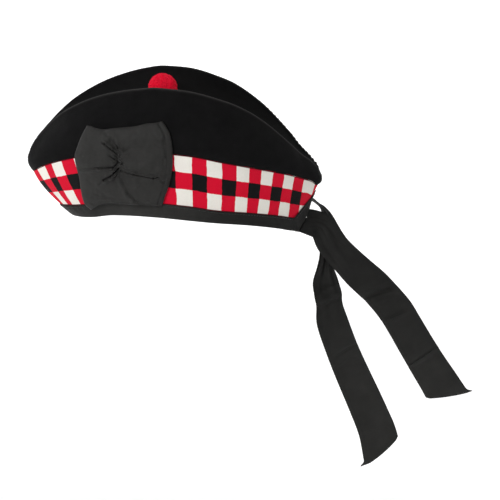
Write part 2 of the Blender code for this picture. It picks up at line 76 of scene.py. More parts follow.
MM = 0.001
X, Y, Z = 0, 1, 2
MIRROR = np.array([-1.0, 1.0, 1.0])      # turns the wearer's left into the right
print("Blender", bpy.app.version_string)

# %% [markdown]
# The camera comes before the pieces, because it settles what shows. The picture was taken with a long lens
# from the wearer's left, 14 degrees above the cap, and leans a little. A camera's matrix has its right, its
# up and its backward direction as columns, so those three are worked out and put in.

# %% Camera
PICTURE_SIDE = 500                # the picture's width and height in its own pixels
FOCAL_LENGTH = 2609.5             # in those pixels
SENSOR = 36.0                     # millimetres, as Blender counts a sensor
CAMERA_REACH = 2400 * MM
CAMERA_TILT = math.radians(14)
CAMERA_LEAN = math.radians(3.486)
LOOKS_AT = np.array([0, 59.43, -25.87]) * MM

ahead = np.array([-math.cos(CAMERA_TILT), 0, -math.sin(CAMERA_TILT)])
level_right = np.array([0.0, 1.0, 0.0])
level_up = np.cross(level_right, ahead)
lean_right = math.cos(CAMERA_LEAN) * level_right + math.sin(CAMERA_LEAN) * level_up
lean_up = math.cos(CAMERA_LEAN) * level_up - math.sin(CAMERA_LEAN) * level_right

camera = bpy.data.objects.new("camera", bpy.data.cameras.new("camera"))
camera.data.sensor_width = SENSOR
camera.data.lens = FOCAL_LENGTH / PICTURE_SIDE * SENSOR
camera.data.clip_end = 50
camera_axes = np.column_stack([lean_right, lean_up, -ahead])
camera.matrix_world = Matrix.Translation(LOOKS_AT - ahead * CAMERA_REACH) @ Matrix(camera_axes).to_4x4()
bpy.context.scene.collection.objects.link(camera)
bpy.context.scene.camera = camera
print("camera lens:", round(camera.data.lens, 1), "mm")

# %% [markdown]
# The cap's shapes are kept in short tables whose columns have names. The first helper gives a table's rows
# those names. The second reads a column between its rows on a curve that never overshoots, so that a few
# rows are enough for a smooth ridge.

# %% Tables
def named_rows(columns, rows):
    """Rows of a table, whose values are read by the names of their columns."""
    kind = namedtuple("Row", columns)
    return [kind(*row) for row in rows]


def read_column(table, key, column, at):
    """Reads one column of a table between its rows, for one place or a whole array of them."""
    xs = np.array([getattr(row, key) for row in table], float)
    ys = np.array([getattr(row, column) for row in table], float)
    steps = np.diff(ys) / np.diff(xs)
    product = steps[:-1] * steps[1:]
    inner = np.where(product > 0, 2 * product / np.where(product > 0, steps[:-1] + steps[1:], 1), 0)
    slopes = np.concatenate([steps[:1], inner, steps[-1:]])
    at = np.clip(at, xs[0], xs[-1])
    i = np.clip(np.searchsorted(xs, at, side="right") - 1, 0, len(xs) - 2)
    span = xs[i + 1] - xs[i]
    t = (at - xs[i]) / span
    return (ys[i] * (1 + 2 * t) * (1 - t) ** 2 + slopes[i] * span * t * (1 - t) ** 2
            + ys[i + 1] * t * t * (3 - 2 * t) + slopes[i + 1] * span * t * t * (t - 1))


trial = named_rows("at height", ((0, 0), (1, 1), (3, 1)))
print("a table read between its rows:", round(float(read_column(trial, "at", "height", 0.5)), 3))

# %% [markdown]
# Five more helpers serve every curve below: the cubic curve that a rib of the crown follows, a direction of
# unit length, a hump between 0 and 1 that fades out smoothly, the length travelled along a line of points,
# and the line read at other lengths.

# %% Curves
def bezier(a, b, c, d, t):
    return a * (1 - t) ** 3 + b * 3 * t * (1 - t) ** 2 + c * 3 * t * t * (1 - t) + d * t ** 3


def unit(vectors):
    return vectors / np.linalg.norm(vectors, axis=-1, keepdims=True)


def hump(distance, breadth):
    return np.exp(-(distance / breadth) ** 2)


def run_lengths(points):
    """The length travelled from the first point of a line to each of its points."""
    return np.concatenate([[0], np.cumsum(np.linalg.norm(np.diff(points, axis=0), axis=1))])


def read_line(at, lengths, rows):
    """Reads rows of numbers along a line, at other lengths."""
    return np.stack([np.interp(at, lengths, column) for column in rows.T], axis=1)


print("a hump one breadth from its top:", round(float(hump(1.0, 1.0)), 3))

# %% [markdown]
# The band is the cap's skeleton: the crown grows out of its top, the binding folds round its lower edge,
# and the vent is cut out of its back. One function gives any point of its outer face from an angle round
# the head and a rise from the rim to the top, so every other piece can be hung on it. Both of the band's
# edges climb towards the sides; the table says how, and how deep the binding reaches in, from the back,
# where around is 0, to the front, where it is 1. Negative angles are the wearer's right.

# %% The band's face
RIM_LENGTH, RIM_WIDTH, RIM_ARCH = 218 * MM, 144 * MM, 16.8 * MM
BAND_WALL = 2.5 * MM
BAND_FRONT_RISE, BAND_SIDE_RISE, BAND_BACK_RISE = 35.7 * MM, 57.6 * MM, 39.3 * MM
BAND_FRONT_FLARE, BAND_SIDE_FLARE, BAND_BACK_FLARE = 33.3 * MM, 2 * MM, 8.7 * MM
BAND_BELLY, BAND_FRONT_BELLY, BAND_BACK_HOLLOW = 1.2 * MM, 4.8 * MM, 2 * MM
BAND_BACK_POINT = 0.6
BINDING_DEPTH = 11 * MM

BAND_EDGES = named_rows("around arch climb lap", (
    (0.000, 0.000, 0.000, 1.00),
    (0.050, 0.010, 0.030, 1.00),
    (0.100, 0.075, 0.163, 1.00),
    (0.160, 0.240, 0.290, 0.97),
    (0.220, 0.465, 0.440, 0.95),
    (0.290, 0.670, 0.600, 0.95),
    (0.350, 0.795, 0.728, 0.95),
    (0.420, 0.875, 0.866, 0.98),
    (0.500, 0.965, 1.000, 1.12),
    (0.560, 1.000, 1.025, 1.13),
    (0.620, 0.965, 0.985, 1.13),
    (0.700, 0.810, 0.830, 1.12),
    (0.780, 0.465, 0.600, 1.10),
    (0.845, 0.280, 0.400, 1.05),
    (0.900, 0.205, 0.225, 0.93),
    (0.940, 0.205, 0.115, 0.78),
    (0.970, 0.225, 0.055, 0.68),
    (1.000, 0.240, 0.000, 0.64),
))


def edge_share(column, angle):
    """One column of the band's edges at an angle, which may pass the middle in front or behind."""
    around = np.abs(np.asarray(angle, float)) / math.pi
    return read_column(BAND_EDGES, "around", column, np.where(around > 1, 2 - around, around))


def band_face(angle, rise):
    """The band's outer face: angle 0 is the back and pi the front, rise 0 the rim and 1 the top."""
    angle, rise = np.broadcast_arrays(np.asarray(angle, float), np.asarray(rise, float))
    s, c = np.sin(angle), np.cos(angle)
    side = np.abs(s)
    behind = c > 0
    flare = np.where(behind, BAND_BACK_FLARE, BAND_FRONT_FLARE)
    end_rise = np.where(behind, BAND_BACK_RISE, BAND_FRONT_RISE)
    taper = np.where(behind, 1 - BAND_BACK_POINT * (1 - side), 1)
    rim = np.stack([RIM_WIDTH / 2 * s, RIM_LENGTH / 2 * c, RIM_ARCH * edge_share("arch", angle)], axis=-1)
    top_z = end_rise + (RIM_ARCH + BAND_SIDE_RISE - end_rise) * edge_share("climb", angle)
    top_x = (RIM_WIDTH / 2 + BAND_SIDE_FLARE) * s * taper
    top = np.stack([top_x, (RIM_LENGTH / 2 + flare) * c, top_z], axis=-1)
    end_belly = np.where(behind, -BAND_BACK_HOLLOW, BAND_FRONT_BELLY)
    belly = (BAND_BELLY * side + end_belly * c ** 4) * 4 * rise * (1 - rise)
    outward = np.stack([s, c, 0 * s], axis=-1)
    return rim + (top - rim) * rise[..., None] + belly[..., None] * outward


def band_axes(angle, rise):
    """The outward and the upward direction of the band's face."""
    step = 0.001
    along = band_face(angle + step, rise) - band_face(angle - step, rise)
    up = band_face(angle, rise + step) - band_face(angle, rise - step)
    return unit(np.cross(up, along)), unit(up)


def band_point(angle, rise, out=0.0):
    """A point of the band's face moved outward."""
    out = np.asarray(out, float)
    return band_face(angle, rise) + band_axes(angle, rise)[0] * out[..., None]


print("band, back to front:", np.round(band_face(np.array([0, math.pi]), 1.0)[:, Y] / MM, 1), "mm")

# %% [markdown]
# The vent is the notch behind that lets the band give when the cap goes on. Its two edges run from the rim
# to a point. The angle of an edge at a given height has no simple formula, so it is found by halving an
# interval until it is narrow enough.

# %% The vent's edges
VENT_WIDTH, VENT_HEIGHT = 52 * MM, 19 * MM
VENT_RISE = VENT_HEIGHT / BAND_BACK_RISE
HALVINGS = 40


def back_angle(x, rise):
    """The angle at which the back of the band lies this far from the middle."""
    low, high = 0.0, math.pi / 2
    for _ in range(HALVINGS):
        middle = (low + high) / 2
        if band_face(middle, rise)[X] < x:
            low = middle
        else:
            high = middle
    return high


def vent_angle(rise):
    """The angle of the vent's edge, which closes at the vent's top."""
    if rise >= VENT_RISE:
        return 0.0
    return back_angle(VENT_WIDTH / 2 * (1 - rise / VENT_RISE), rise)


print("vent's corner at", round(math.degrees(vent_angle(0)), 1), "degrees from the back")

# %% [markdown]
# A grid of points becomes a mesh here. Rows run up and columns run to the right as the piece is seen from
# outside, which makes the faces point outward. What the finish has to know about each point, such as where
# it lies on the woven strip, goes along as a named attribute. The crown and the band are drawn from the
# front, along the wearer's left, round the back and along the wearer's right.

# %% Grids into meshes
WELD = 0.01 * MM


def link(name, points, faces):
    """A piece in the scene, from its points and from the corners of its faces."""
    mesh = bpy.data.meshes.new(name)
    mesh.from_pydata(points.reshape(-1, 3).tolist(), [], faces)
    piece = bpy.data.objects.new(name, mesh)
    bpy.context.scene.collection.objects.link(piece)
    mesh.shade_smooth()
    return piece


def attach(piece, label, values):
    """Stores one number or one vector for each point of a piece."""
    kind, field = ("FLOAT", "value") if values.shape[1] == 1 else ("FLOAT_VECTOR", "vector")
    layer = piece.data.attributes.new(label, kind, "POINT")
    layer.data.foreach_set(field, values.astype(np.float32).ravel())


def make_sheet(name, points, attributes=None, closed=False):
    """A piece from rows and columns of points; closed joins its last column to its first."""
    rows, columns = points.shape[:2]
    index = np.arange(rows * columns).reshape(rows, columns)
    left = index if closed else index[:, :-1]
    right = np.roll(index, -1, axis=1) if closed else index[:, 1:]
    quads = np.stack([left[:-1], right[:-1], right[1:], left[1:]], axis=-1).reshape(-1, 4)
    piece = link(name, points, quads.tolist())
    for label, values in (attributes or {}).items():
        attach(piece, label, values.reshape(rows * columns, -1))
    return piece


def weld(piece):
    """Joins points that lie in one place, and drops faces that have shrunk to nothing."""
    shape = bmesh.new()
    shape.from_mesh(piece.data)
    bmesh.ops.remove_doubles(shape, verts=shape.verts, dist=WELD)
    bmesh.ops.dissolve_degenerate(shape, edges=shape.edges, dist=WELD)
    shape.to_mesh(piece.data)
    shape.free()


def read_vectors(items, field):
    """One vector of each item, such as a mesh's points, as an array."""
    flat = np.empty(len(items) * 3, np.float32)
    items.foreach_get(field, flat)
    return flat.reshape(-1, 3).astype(float)


def points_and_normals(mesh):
    return read_vectors(mesh.vertices, "co"), read_vectors(mesh.vertex_normals, "vector")


def move_points(mesh, points):
    mesh.vertices.foreach_set("co", points.astype(np.float32).ravel())
    mesh.update()


print("points closer than", WELD / MM, "mm are welded")

# %% [markdown]
# Cloth has two faces and an edge between them. Solidify gives a sheet its thickness, and the result is
# fixed into the mesh. Its second material slot takes the inner face, which lets a band show its backing
# inside.

# %% Cloth thickness
def thicken(piece, wall, offset=-1.0, inner_slot=0):
    """Gives a sheet its thickness, inward from its face unless the offset says otherwise."""
    shell = piece.modifiers.new("cloth", "SOLIDIFY")
    shell.thickness = wall
    shell.offset = offset
    shell.use_quality_normals = True
    shell.material_offset = inner_slot
    fix_modifiers(piece)


def fix_modifiers(piece):
    """Replaces a mesh by what its modifiers make of it."""
    bpy.context.view_layer.update()
    seen = piece.evaluated_get(bpy.context.evaluated_depsgraph_get())
    mesh = bpy.data.meshes.new_from_object(seen)
    piece.modifiers.clear()
    piece.data = mesh
    mesh.name = piece.name


def outer_tree(piece):
    """A search tree of a piece's faces, to find where another piece touches it."""
    mesh = piece.data
    return BVHTree.FromPolygons([v.co for v in mesh.vertices], [tuple(p.vertices) for p in mesh.polygons])


print("helpers for cloth:", thicken.__name__, fix_modifiers.__name__, outer_tree.__name__)

# %% [markdown]
# Shader maths reads best as arithmetic. This small class wraps one output socket: an expression on it adds
# the Math nodes that it needs. Vectors and colours go through Vector Math and Mix instead, because a Math
# node would turn a colour grey.

# %% Shader arithmetic
class Wire:
    """One value of a finish, with the arithmetic that a finish needs."""

    def __init__(self, finish, socket):
        self.finish, self.socket = finish, socket

    def sums(self, operation, *values):
        return self.finish.node("ShaderNodeMath", {"operation": operation}, dict(enumerate(values)))

    def __add__(self, other):
        return self.sums("ADD", self, other)

    def __sub__(self, other):
        return self.sums("SUBTRACT", self, other)

    def __rsub__(self, other):
        return self.sums("SUBTRACT", other, self)

    def __mul__(self, other):
        return self.sums("MULTIPLY", self, other)

    def __truediv__(self, other):
        return self.sums("DIVIDE", self, other)

    def __pow__(self, other):
        return self.sums("POWER", self, other)

    def __gt__(self, other):
        return self.sums("GREATER_THAN", self, other)

    def __lt__(self, other):
        return self.sums("LESS_THAN", self, other)

    def __abs__(self):
        return self.sums("ABSOLUTE", self)

    __radd__ = __add__
    __rmul__ = __mul__

    def floor(self):
        return self.sums("FLOOR", self)

    def fract(self):
        return self.sums("FRACT", self)

    def sine(self):
        return self.sums("SINE", self)

    def clamp(self):
        return self.finish.node("ShaderNodeClamp", {}, {0: self})

    def axis(self, which):
        """One coordinate of a vector."""
        return self.finish.node("ShaderNodeSeparateXYZ", {}, {0: self}, which)

    def stretch(self, scale):
        """A vector with each coordinate multiplied by its own number."""
        return self.finish.node("ShaderNodeVectorMath", {"operation": "MULTIPLY"}, {0: self, 1: scale})


print("what a wire can do by name:", sorted(name for name in vars(Wire) if not name.startswith("_")))

# %% [markdown]
# A finish is one material. Its node method takes a node's type, its settings and the values or links of its
# sockets, and hands back the chosen output as a wire. What varies over a surface is plugged into the
# shader; what is the same all over is a plain number on the shader's own socket.

# %% Finishes
class Finish:
    """A cloth finish, built round one Principled shader."""

    def __init__(self, name, **plain):
        self.material = bpy.data.materials.new(name)
        self.material.use_nodes = True
        self.tree = self.material.node_tree
        self.shader = self.tree.nodes["Principled BSDF"]
        for socket, value in plain.items():
            self.shader.inputs[socket.replace("_", " ")].default_value = value

    def node(self, kind, settings, sockets, output=0):
        made = self.tree.nodes.new(kind)
        for setting, value in settings.items():
            setattr(made, setting, value)
        for socket, value in sockets.items():
            self.plug(made.inputs[socket], value)
        return Wire(self, made.outputs[output])

    def plug(self, socket, value):
        if isinstance(value, Wire):
            self.tree.links.new(value.socket, socket)
        else:
            socket.default_value = value

    def wear(self, **wires):
        """Plugs what varies over the surface into the shader."""
        for socket, value in wires.items():
            self.plug(self.shader.inputs[socket.replace("_", " ")], value)

    def attribute(self, label, output="Vector"):
        return self.node("ShaderNodeAttribute", {"attribute_name": label}, {}, output)

    def mix(self, amount, first, second):
        """A colour between two colours."""
        sockets = {0: amount, 6: first, 7: second}
        return self.node("ShaderNodeMix", {"data_type": "RGBA"}, sockets, 2)

    def noise(self, place, scale, detail=2.0, rough=0.5):
        sockets = {"Vector": place, "Scale": scale, "Detail": detail, "Roughness": rough}
        return self.node("ShaderNodeTexNoise", {}, sockets)

    def bump(self, height, depth, strength=1.0):
        """A normal from a height between 0 and 1 that stands for this many metres."""
        return self.node("ShaderNodeBump", {}, {"Height": height, "Distance": depth, "Strength": strength})

    def place(self):
        """The point of the surface, in metres, in the piece's own frame."""
        return self.node("ShaderNodeTexCoord", {}, {}, "Object")


def paint(red, green, blue):
    """A colour as a socket takes it."""
    return (red, green, blue, 1.0)


print("what a finish can do:", sorted(name for name in vars(Finish) if not name.startswith("_")))

# %% [markdown]
# Wool felt is fibres pressed into a mat. It has no weave: up close it is a mottled tangle of short hairs,
# from afar a soft black that swallows light and catches it only along its edges. Two noises of different
# stretch stand for the tangle and a larger one for the mottling. The ridges are lighter, partly from dust
# where hands take hold and partly from a painted highlight, and the far wall is darkened by painted shade.

# %% Felt finish
FELT_BLACK = paint(0.0038, 0.0038, 0.0040)
FELT_GREY = paint(0.0078, 0.0077, 0.0079)
# a lighter colour along the ridges: partly dust, partly a painted highlight
FELT_DUST_AND_HIGHLIGHT = paint(0.058, 0.056, 0.054)
FELT_PAINTED_SHADE = paint(0.0008, 0.0008, 0.0008)     # painted shade on the far wall
NAP_GREY = paint(0.0105, 0.0103, 0.0100)


def felt_finish():
    felt = Finish("black wool felt", Sheen_Weight=0.03, Sheen_Roughness=0.45, Specular_IOR_Level=0.05)
    place = felt.place()
    mottle = felt.noise(place, 90.0, 5.0, 0.62)
    fibres = felt.noise(place.stretch((1.0, 0.35, 2.4)), 1500.0, 3.0, 0.65)
    crossed = felt.noise(place.stretch((1.0, 2.2, 0.4)), 1300.0, 3.0, 0.65)
    tangle = fibres * 0.5 + crossed * 0.5
    worn = felt.attribute("worn", "Fac")
    grey = (mottle * 1.3 + tangle * 0.8 - 0.60).clamp()
    colour = felt.mix(grey, FELT_BLACK, FELT_GREY)
    # painted shade: the wearer's right-hand wall is darkened from just before the middle to the back
    painted_far_wall_shade = (place.axis(X) * -70 + 0.2).clamp() * (place.axis(Y) * 20 + 0.7).clamp()
    colour = felt.mix(painted_far_wall_shade * 0.6, colour, FELT_PAINTED_SHADE)
    # the ridges lighter: partly dust where hands take hold, partly a painted highlight
    dust_and_highlight = (worn * (0.35 + tangle * 0.9)).clamp()
    felt.wear(Base_Color=felt.mix(dust_and_highlight, colour, FELT_DUST_AND_HIGHLIGHT), Roughness=0.86 + tangle * 0.14,
              Normal=felt.bump(tangle * 0.75 + mottle * 0.25, 0.35 * MM, 0.8))
    return felt.material


FELT = felt_finish()
print("finish:", FELT.name)

# %% [markdown]
# The crown is one piece of blocked felt. Each rib climbs from the band on a swelling curve to the ridge,
# folds over and drops into the valley between the ridges. The short table says how far the ridges spread
# and how high they stand from the stern, where along is 0, to the prow, where it is 1.

# %% The crown's ridges
CROWN_WALL = 2 * MM
CROWN_PEAK, CROWN_WIDTH, CROWN_SWELL = 131 * MM, 117 * MM, 4.5 * MM
PROW_REACH, PROW_RISE, STERN_REACH, STERN_RISE = 5.7 * MM, 13.8 * MM, 2.6 * MM, 9.2 * MM
NOSE_SWELL, NOSE_ROUND = 1.2 * MM, 1.7 * MM     # how much fuller the prow and the stern are
VALLEY_DEPTH, RIDGE_ROUND = 24 * MM, 5 * MM
SEAM_GAP = 0.3 * MM

RIDGE = named_rows("along spread height sink", (
    (0.000, 0.00, 0.000, 0.00),
    (0.005, 0.05, 0.035, 0.00),
    (0.014, 0.09, 0.098, 0.02),
    (0.030, 0.145, 0.156, 0.06),
    (0.047, 0.20, 0.207, 0.12),
    (0.070, 0.28, 0.264, 0.20),
    (0.110, 0.42, 0.391, 0.34),
    (0.190, 0.62, 0.619, 0.60),
    (0.265, 0.78, 0.783, 0.82),
    (0.340, 0.91, 0.891, 0.95),
    (0.490, 1.00, 0.995, 1.00),
    (0.560, 0.98, 1.000, 1.00),
    (0.635, 0.90, 0.963, 0.96),
    (0.710, 0.77, 0.894, 0.82),
    (0.785, 0.60, 0.790, 0.62),
    (0.860, 0.38, 0.636, 0.36),
    (0.905, 0.20, 0.502, 0.12),
    (0.940, 0.10, 0.368, 0.03),
    (0.953, 0.09, 0.313, 0.01),
    (0.969, 0.08, 0.243, 0.00),
    (0.982, 0.08, 0.172, 0.00),
    (0.992, 0.075, 0.102, 0.00),
    (0.9975, 0.06, 0.032, 0.00),
    (1.000, 0.00, 0.000, 0.00),
))


def ridge(angle):
    """The ridge above a band angle, and how deep the valley sinks beside it."""
    along = (1 - np.cos(angle)) / 2
    stern = np.array([0, RIM_LENGTH / 2 + BAND_BACK_FLARE + STERN_REACH, BAND_BACK_RISE + STERN_RISE])
    prow = np.array([0, -RIM_LENGTH / 2 - BAND_FRONT_FLARE - PROW_REACH, BAND_FRONT_RISE + PROW_RISE])
    point = stern + (prow - stern) * along[:, None]
    point[:, Z] += (CROWN_PEAK - point[:, Z]) * read_column(RIDGE, "along", "height", along)
    spread = read_column(RIDGE, "along", "spread", along)
    point[:, X] = CROWN_WIDTH / 2 * spread * np.sign(angle)
    return point, VALLEY_DEPTH * read_column(RIDGE, "along", "sink", along)


print("the left ridge above the side:", np.round(ridge(np.array([math.pi / 2]))[0][0] / MM, 1), "mm")

# %% [markdown]
# Felt two millimetres thick can't fold to a knife edge. Each rib is therefore first drawn with a sharp
# ridge, then evened out along its own length within a few millimetres of the fold, and pushed back up by
# what the evening took away, so that the outline stays where it was. The samples crowd together there.

# %% Ribs with a rounded fold
SIDE_SAMPLES, VALLEY_SAMPLES = 38, 26
CROWD = 1.8                       # above 1 the samples crowd towards the ridge
FOLD_RADIUS = 1.7 * MM
RIB_STEP = 0.3 * MM
DRAFT_SAMPLES = 60
HANDLE, NOSE_HANDLE = 0.3, 0.06   # how far the curve's handles reach, in shares of the rib
LEAST_FULL = 0.25                 # the share of the swell that is left in front and behind
VALLEY_CURVE = 1.6                # above 1 the valley's floor is rounded
EVENED, RAISED = 4, 1.6           # how far round the fold, in fold radii
GIVEN_BACK = 0.92                 # the share of the lost height that is put back


def sharp_ribs(angles):
    """Each rib from the band's top to the ridge, and on from the ridge to the valley's middle."""
    out, up = band_axes(angles, 1.0)
    foot = band_face(angles, 1.0) + up * SEAM_GAP
    top, sink = ridge(angles)
    reach = np.linalg.norm(top - foot, axis=1)[:, None]
    fullness = (LEAST_FULL + (1 - LEAST_FULL) * np.abs(np.sin(angles)))[:, None]
    nose = (np.cos(angles) ** 16)[:, None]
    swell = out * (CROWN_SWELL * fullness + NOSE_SWELL * nose)
    first = foot + up * reach * (HANDLE + NOSE_HANDLE * nose) + swell
    second = top + (foot - top) * HANDLE + out * (RIDGE_ROUND * fullness + NOSE_ROUND * nose)
    t = np.linspace(0, 1, DRAFT_SAMPLES)[None, :, None]
    side = bezier(foot[:, None], first[:, None], second[:, None], top[:, None], t)
    share = np.linspace(1, 0, DRAFT_SAMPLES)[None, :]
    valley = np.repeat(top[:, None], DRAFT_SAMPLES, axis=1)
    valley[..., X] *= share
    valley[..., Z] -= sink[:, None] * (1 - share ** VALLEY_CURVE)
    return side, valley


def round_rib(side, valley):
    """One rib with its fold rounded, sampled closely there, and each sample's distance from the fold."""
    line = np.vstack([side, valley[1:]])
    length = run_lengths(line)
    fold = length[len(side) - 1]
    count = max(int(length[-1] / RIB_STEP), 8)
    even = np.linspace(0, length[-1], count)
    raw = read_line(even, length, line)
    reach = int(3 * FOLD_RADIUS / RIB_STEP)
    kernel = hump(np.arange(-reach, reach + 1) * RIB_STEP, FOLD_RADIUS)
    kernel /= kernel.sum()
    padded = np.pad(raw, ((reach, reach), (0, 0)), mode="edge")
    smooth = np.stack([np.convolve(column, kernel, mode="valid") for column in padded.T], axis=1)
    near = hump(even - fold, EVENED * FOLD_RADIUS)[:, None]
    lost = line[len(side) - 1] - smooth[np.argmin(np.abs(even - fold))]
    lift = hump(even - fold, RAISED * FOLD_RADIUS)[:, None] * lost
    rounded = raw + (smooth - raw) * near + lift * GIVEN_BACK
    rounded[0], rounded[-1] = raw[0], raw[-1]
    up_side = fold * (1 - (1 - np.linspace(0, 1, SIDE_SAMPLES)) ** CROWD)
    down = fold + (length[-1] - fold) * np.linspace(0, 1, VALLEY_SAMPLES + 1)[1:] ** CROWD
    places = np.concatenate([up_side, down])
    rib = read_line(places, even, rounded)
    rib[-1, X] = 0
    return rib, places - fold


one_side, one_valley = sharp_ribs(np.array([math.pi / 2]))
print("points on a rib:", len(round_rib(one_side[0], one_valley[0])[0]))

# %% [markdown]
# Behind, where the right-hand ridge runs down to the stern, the felt's edge is drawn in by its seam and
# stands in small scallops. They are a wave along the ridge that is strongest at the fold and fades within
# a few millimetres of it. Over the whole crown lie slow, shallow dents, all of them inward, because blocked
# felt is never quite even; they fade towards the band so that the seam stays closed.

# %% The crown
CROWN_COLUMNS = 190               # on each side
SCALLOP, SCALLOP_PITCH, SCALLOP_BREADTH = 0.75 * MM, 4.6 * MM, 2.6 * MM
SCALLOPED_RIGHT, SCALLOPED_LEFT = 0.24, 0.05    # how far from the stern they reach
LEFT_SCALLOP = 0.35               # the left ridge's scallops against the right one's
DENT, DENT_SIZE = 0.9 * MM, 34 * MM
WRINKLE, WRINKLE_SIZE = 0.22 * MM, 9 * MM
DENT_FREE, DENTED_FROM, RIDGE_FIRM = 3 * MM, 0.25, 0.6    # beside the middle, above the seam, on the fold
NEAR_RIDGE_BREADTH = 1.5 * MM


def cap_angles(columns):
    """Angles from the front, along the wearer's left, round the back and to the front again."""
    return np.linspace(math.pi, -math.pi, 2 * columns + 1)


def crown_grid():
    angles = cap_angles(CROWN_COLUMNS)
    sides, valleys = sharp_ribs(angles)
    made = [round_rib(side, valley) for side, valley in zip(sides, valleys)]
    points = np.stack([rib for rib, _ in made], axis=1)
    from_fold = np.stack([away for _, away in made], axis=1)
    fold_line = ridge(angles)[0]
    travelled = run_lengths(fold_line)
    along = (1 - np.cos(angles)) / 2
    far_end = np.where(angles < 0, SCALLOPED_RIGHT, SCALLOPED_LEFT)
    window = np.clip((far_end - along) / 0.03, 0, 1) * np.clip(along / 0.02, 0, 1)
    wave = np.abs(np.sin(math.pi * travelled / SCALLOP_PITCH)) * 2 - 1
    strength = np.where(angles < 0, 1.0, LEFT_SCALLOP) * window * wave * SCALLOP
    inward = unit(np.stack([-fold_line[:, X] * 0.4, 0 * travelled, -np.ones_like(travelled)], axis=1) + 1e-9)
    points -= (hump(from_fold, SCALLOP_BREADTH) * strength[None, :])[..., None] * inward[None]
    return points, from_fold


def dent(mesh, fade):
    """Moves points inward by slow and by quick waves; fade is 1 where the full depth applies."""
    points, normals = points_and_normals(mesh)
    slow = np.array([noise.noise(Vector(p) / DENT_SIZE) for p in points])
    quick = np.array([noise.noise(Vector(p) / WRINKLE_SIZE + Vector((7, 3, 1))) for p in points])
    depth = DENT * (slow * 0.5 + 0.45) + WRINKLE * quick
    move_points(mesh, points - normals * (depth * fade)[:, None])


crown_points, from_fold = crown_grid()
climbed = np.linspace(0, 1, SIDE_SAMPLES + VALLEY_SAMPLES)[:, None] + 0 * from_fold
crown = make_sheet("crown_felt", crown_points,
                   {"worn": hump(from_fold, NEAR_RIDGE_BREADTH), "climbed": climbed})
weld(crown)
climbed_now, worn_now = (np.array([v.value for v in crown.data.attributes[label].data])
                         for label in ("climbed", "worn"))
middle_fade = np.clip(np.abs(points_and_normals(crown.data)[0][:, X]) / DENT_FREE, 0, 1)
dent(crown.data, np.clip(climbed_now / DENTED_FROM, 0, 1) * (1 - RIDGE_FIRM * worn_now) * middle_fade)
crown_skin = outer_tree(crown)
crown_mesh_points, crown_normals = points_and_normals(crown.data)
thicken(crown, CROWN_WALL)
crown.data.materials.append(FELT)
print("crown:", len(crown.data.polygons), "faces")

# %% [markdown]
# The nap is what makes felt look like felt: short loose fibres that stand off the surface. They are real
# hairs here, thin three-sided spikes, rooted at random over the outer face and thicker on the ridges, where
# hands have brushed them up. A fixed seed puts every hair in the same place on each run.

# %% Hairs
HAIR_FACES = ((0, 1, 3), (1, 2, 3), (2, 0, 3), (0, 2, 1))     # three corners of the foot, and the tip


def ring_corners(centres, side, other, radius, sides):
    """The corners of one ring round each centre: all the first corners, then all the second, and so on."""
    turns = [2 * math.pi * corner / sides for corner in range(sides)]
    return [centres + (side * math.cos(turn) + other * math.sin(turn)) * radius for turn in turns]


def grow_hairs(name, roots, directions, lengths, thickness):
    """Thin three-sided spikes, fused into one mesh."""
    side = unit(np.cross(directions, np.array([0.31, 0.53, 0.79])))
    corners = ring_corners(roots, side, np.cross(directions, side), thickness / 2, 3)
    points = np.stack(corners + [roots + directions * lengths[:, None]], axis=1)
    first = np.arange(len(roots)) * 4
    faces = np.concatenate([np.stack([first + a, first + b, first + c], axis=1) for a, b, c in HAIR_FACES])
    return link(name, points, faces.tolist())


def lay_down(vectors, normals):
    """The part of each vector that runs along the surface."""
    return vectors - normals * np.sum(vectors * normals, axis=1, keepdims=True)


print("a hair has", len(HAIR_FACES), "faces")

# %% [markdown]
# A hair's root is scattered a little round a point of the crown's mesh, and sunk under the surface so that
# no hair floats. Most of a hair's direction runs along the felt, because a brushed nap leans.

# %% Nap of loose fibres
NAP_HAIRS, NAP_RIDGE_HAIRS = 34000, 9000
NAP_LENGTH, NAP_THICKNESS = 1.1 * MM, 0.05 * MM
NAP_LEAN, NAP_SCATTER, NAP_SUNK = 0.75, 1.6 * MM, 0.15 * MM
ABOVE_SEAM, ON_RIDGE = 0.02, 0.25        # from this much climbed, and from this much near the ridge


def nap_finish():
    nap = Finish("felt nap", Roughness=0.8, Sheen_Weight=0.04, Specular_IOR_Level=0.05)
    shade = nap.noise(nap.place(), 420.0, 2.0)
    nap.wear(Base_Color=nap.mix(shade, FELT_BLACK, NAP_GREY))
    return nap.material


def grow_nap():
    chance = np.random.default_rng(11)
    outside = np.flatnonzero(climbed_now > ABOVE_SEAM)
    ridge_points = np.flatnonzero(worn_now > ON_RIDGE)
    picked = np.concatenate([chance.choice(outside, NAP_HAIRS), chance.choice(ridge_points, NAP_RIDGE_HAIRS)])
    normals = crown_normals[picked]
    wander = lay_down(chance.normal(size=(len(picked), 3)), normals)
    roots = crown_mesh_points[picked] + unit(wander) * chance.random((len(picked), 1)) * NAP_SCATTER
    leaning = unit(lay_down(wander[::-1], normals)) * NAP_LEAN * chance.random((len(picked), 1))
    directions = unit(normals * (1 - NAP_LEAN) + leaning + normals * 0.1)
    lengths = NAP_LENGTH * (0.35 + 0.65 * chance.random(len(picked)) ** 2)
    nap = grow_hairs("crown_nap", roots - normals * NAP_SUNK, directions, lengths, NAP_THICKNESS)
    nap.data.materials.append(nap_finish())
    return nap


crown_nap = grow_nap()
print("nap:", len(crown_nap.data.polygons), "faces")

# %% [markdown]
# The band is knitted wool in dicing, a traditional check in three rows. Every second column is white, red,
# white, and the ones between are red, black, red. The strip's columns were counted along the band's top, and
# a short table of where some of them start, as an angle round the head, places all the others. The columns
# don't stand quite upright: lean is how far back a column's foot lies from its head.

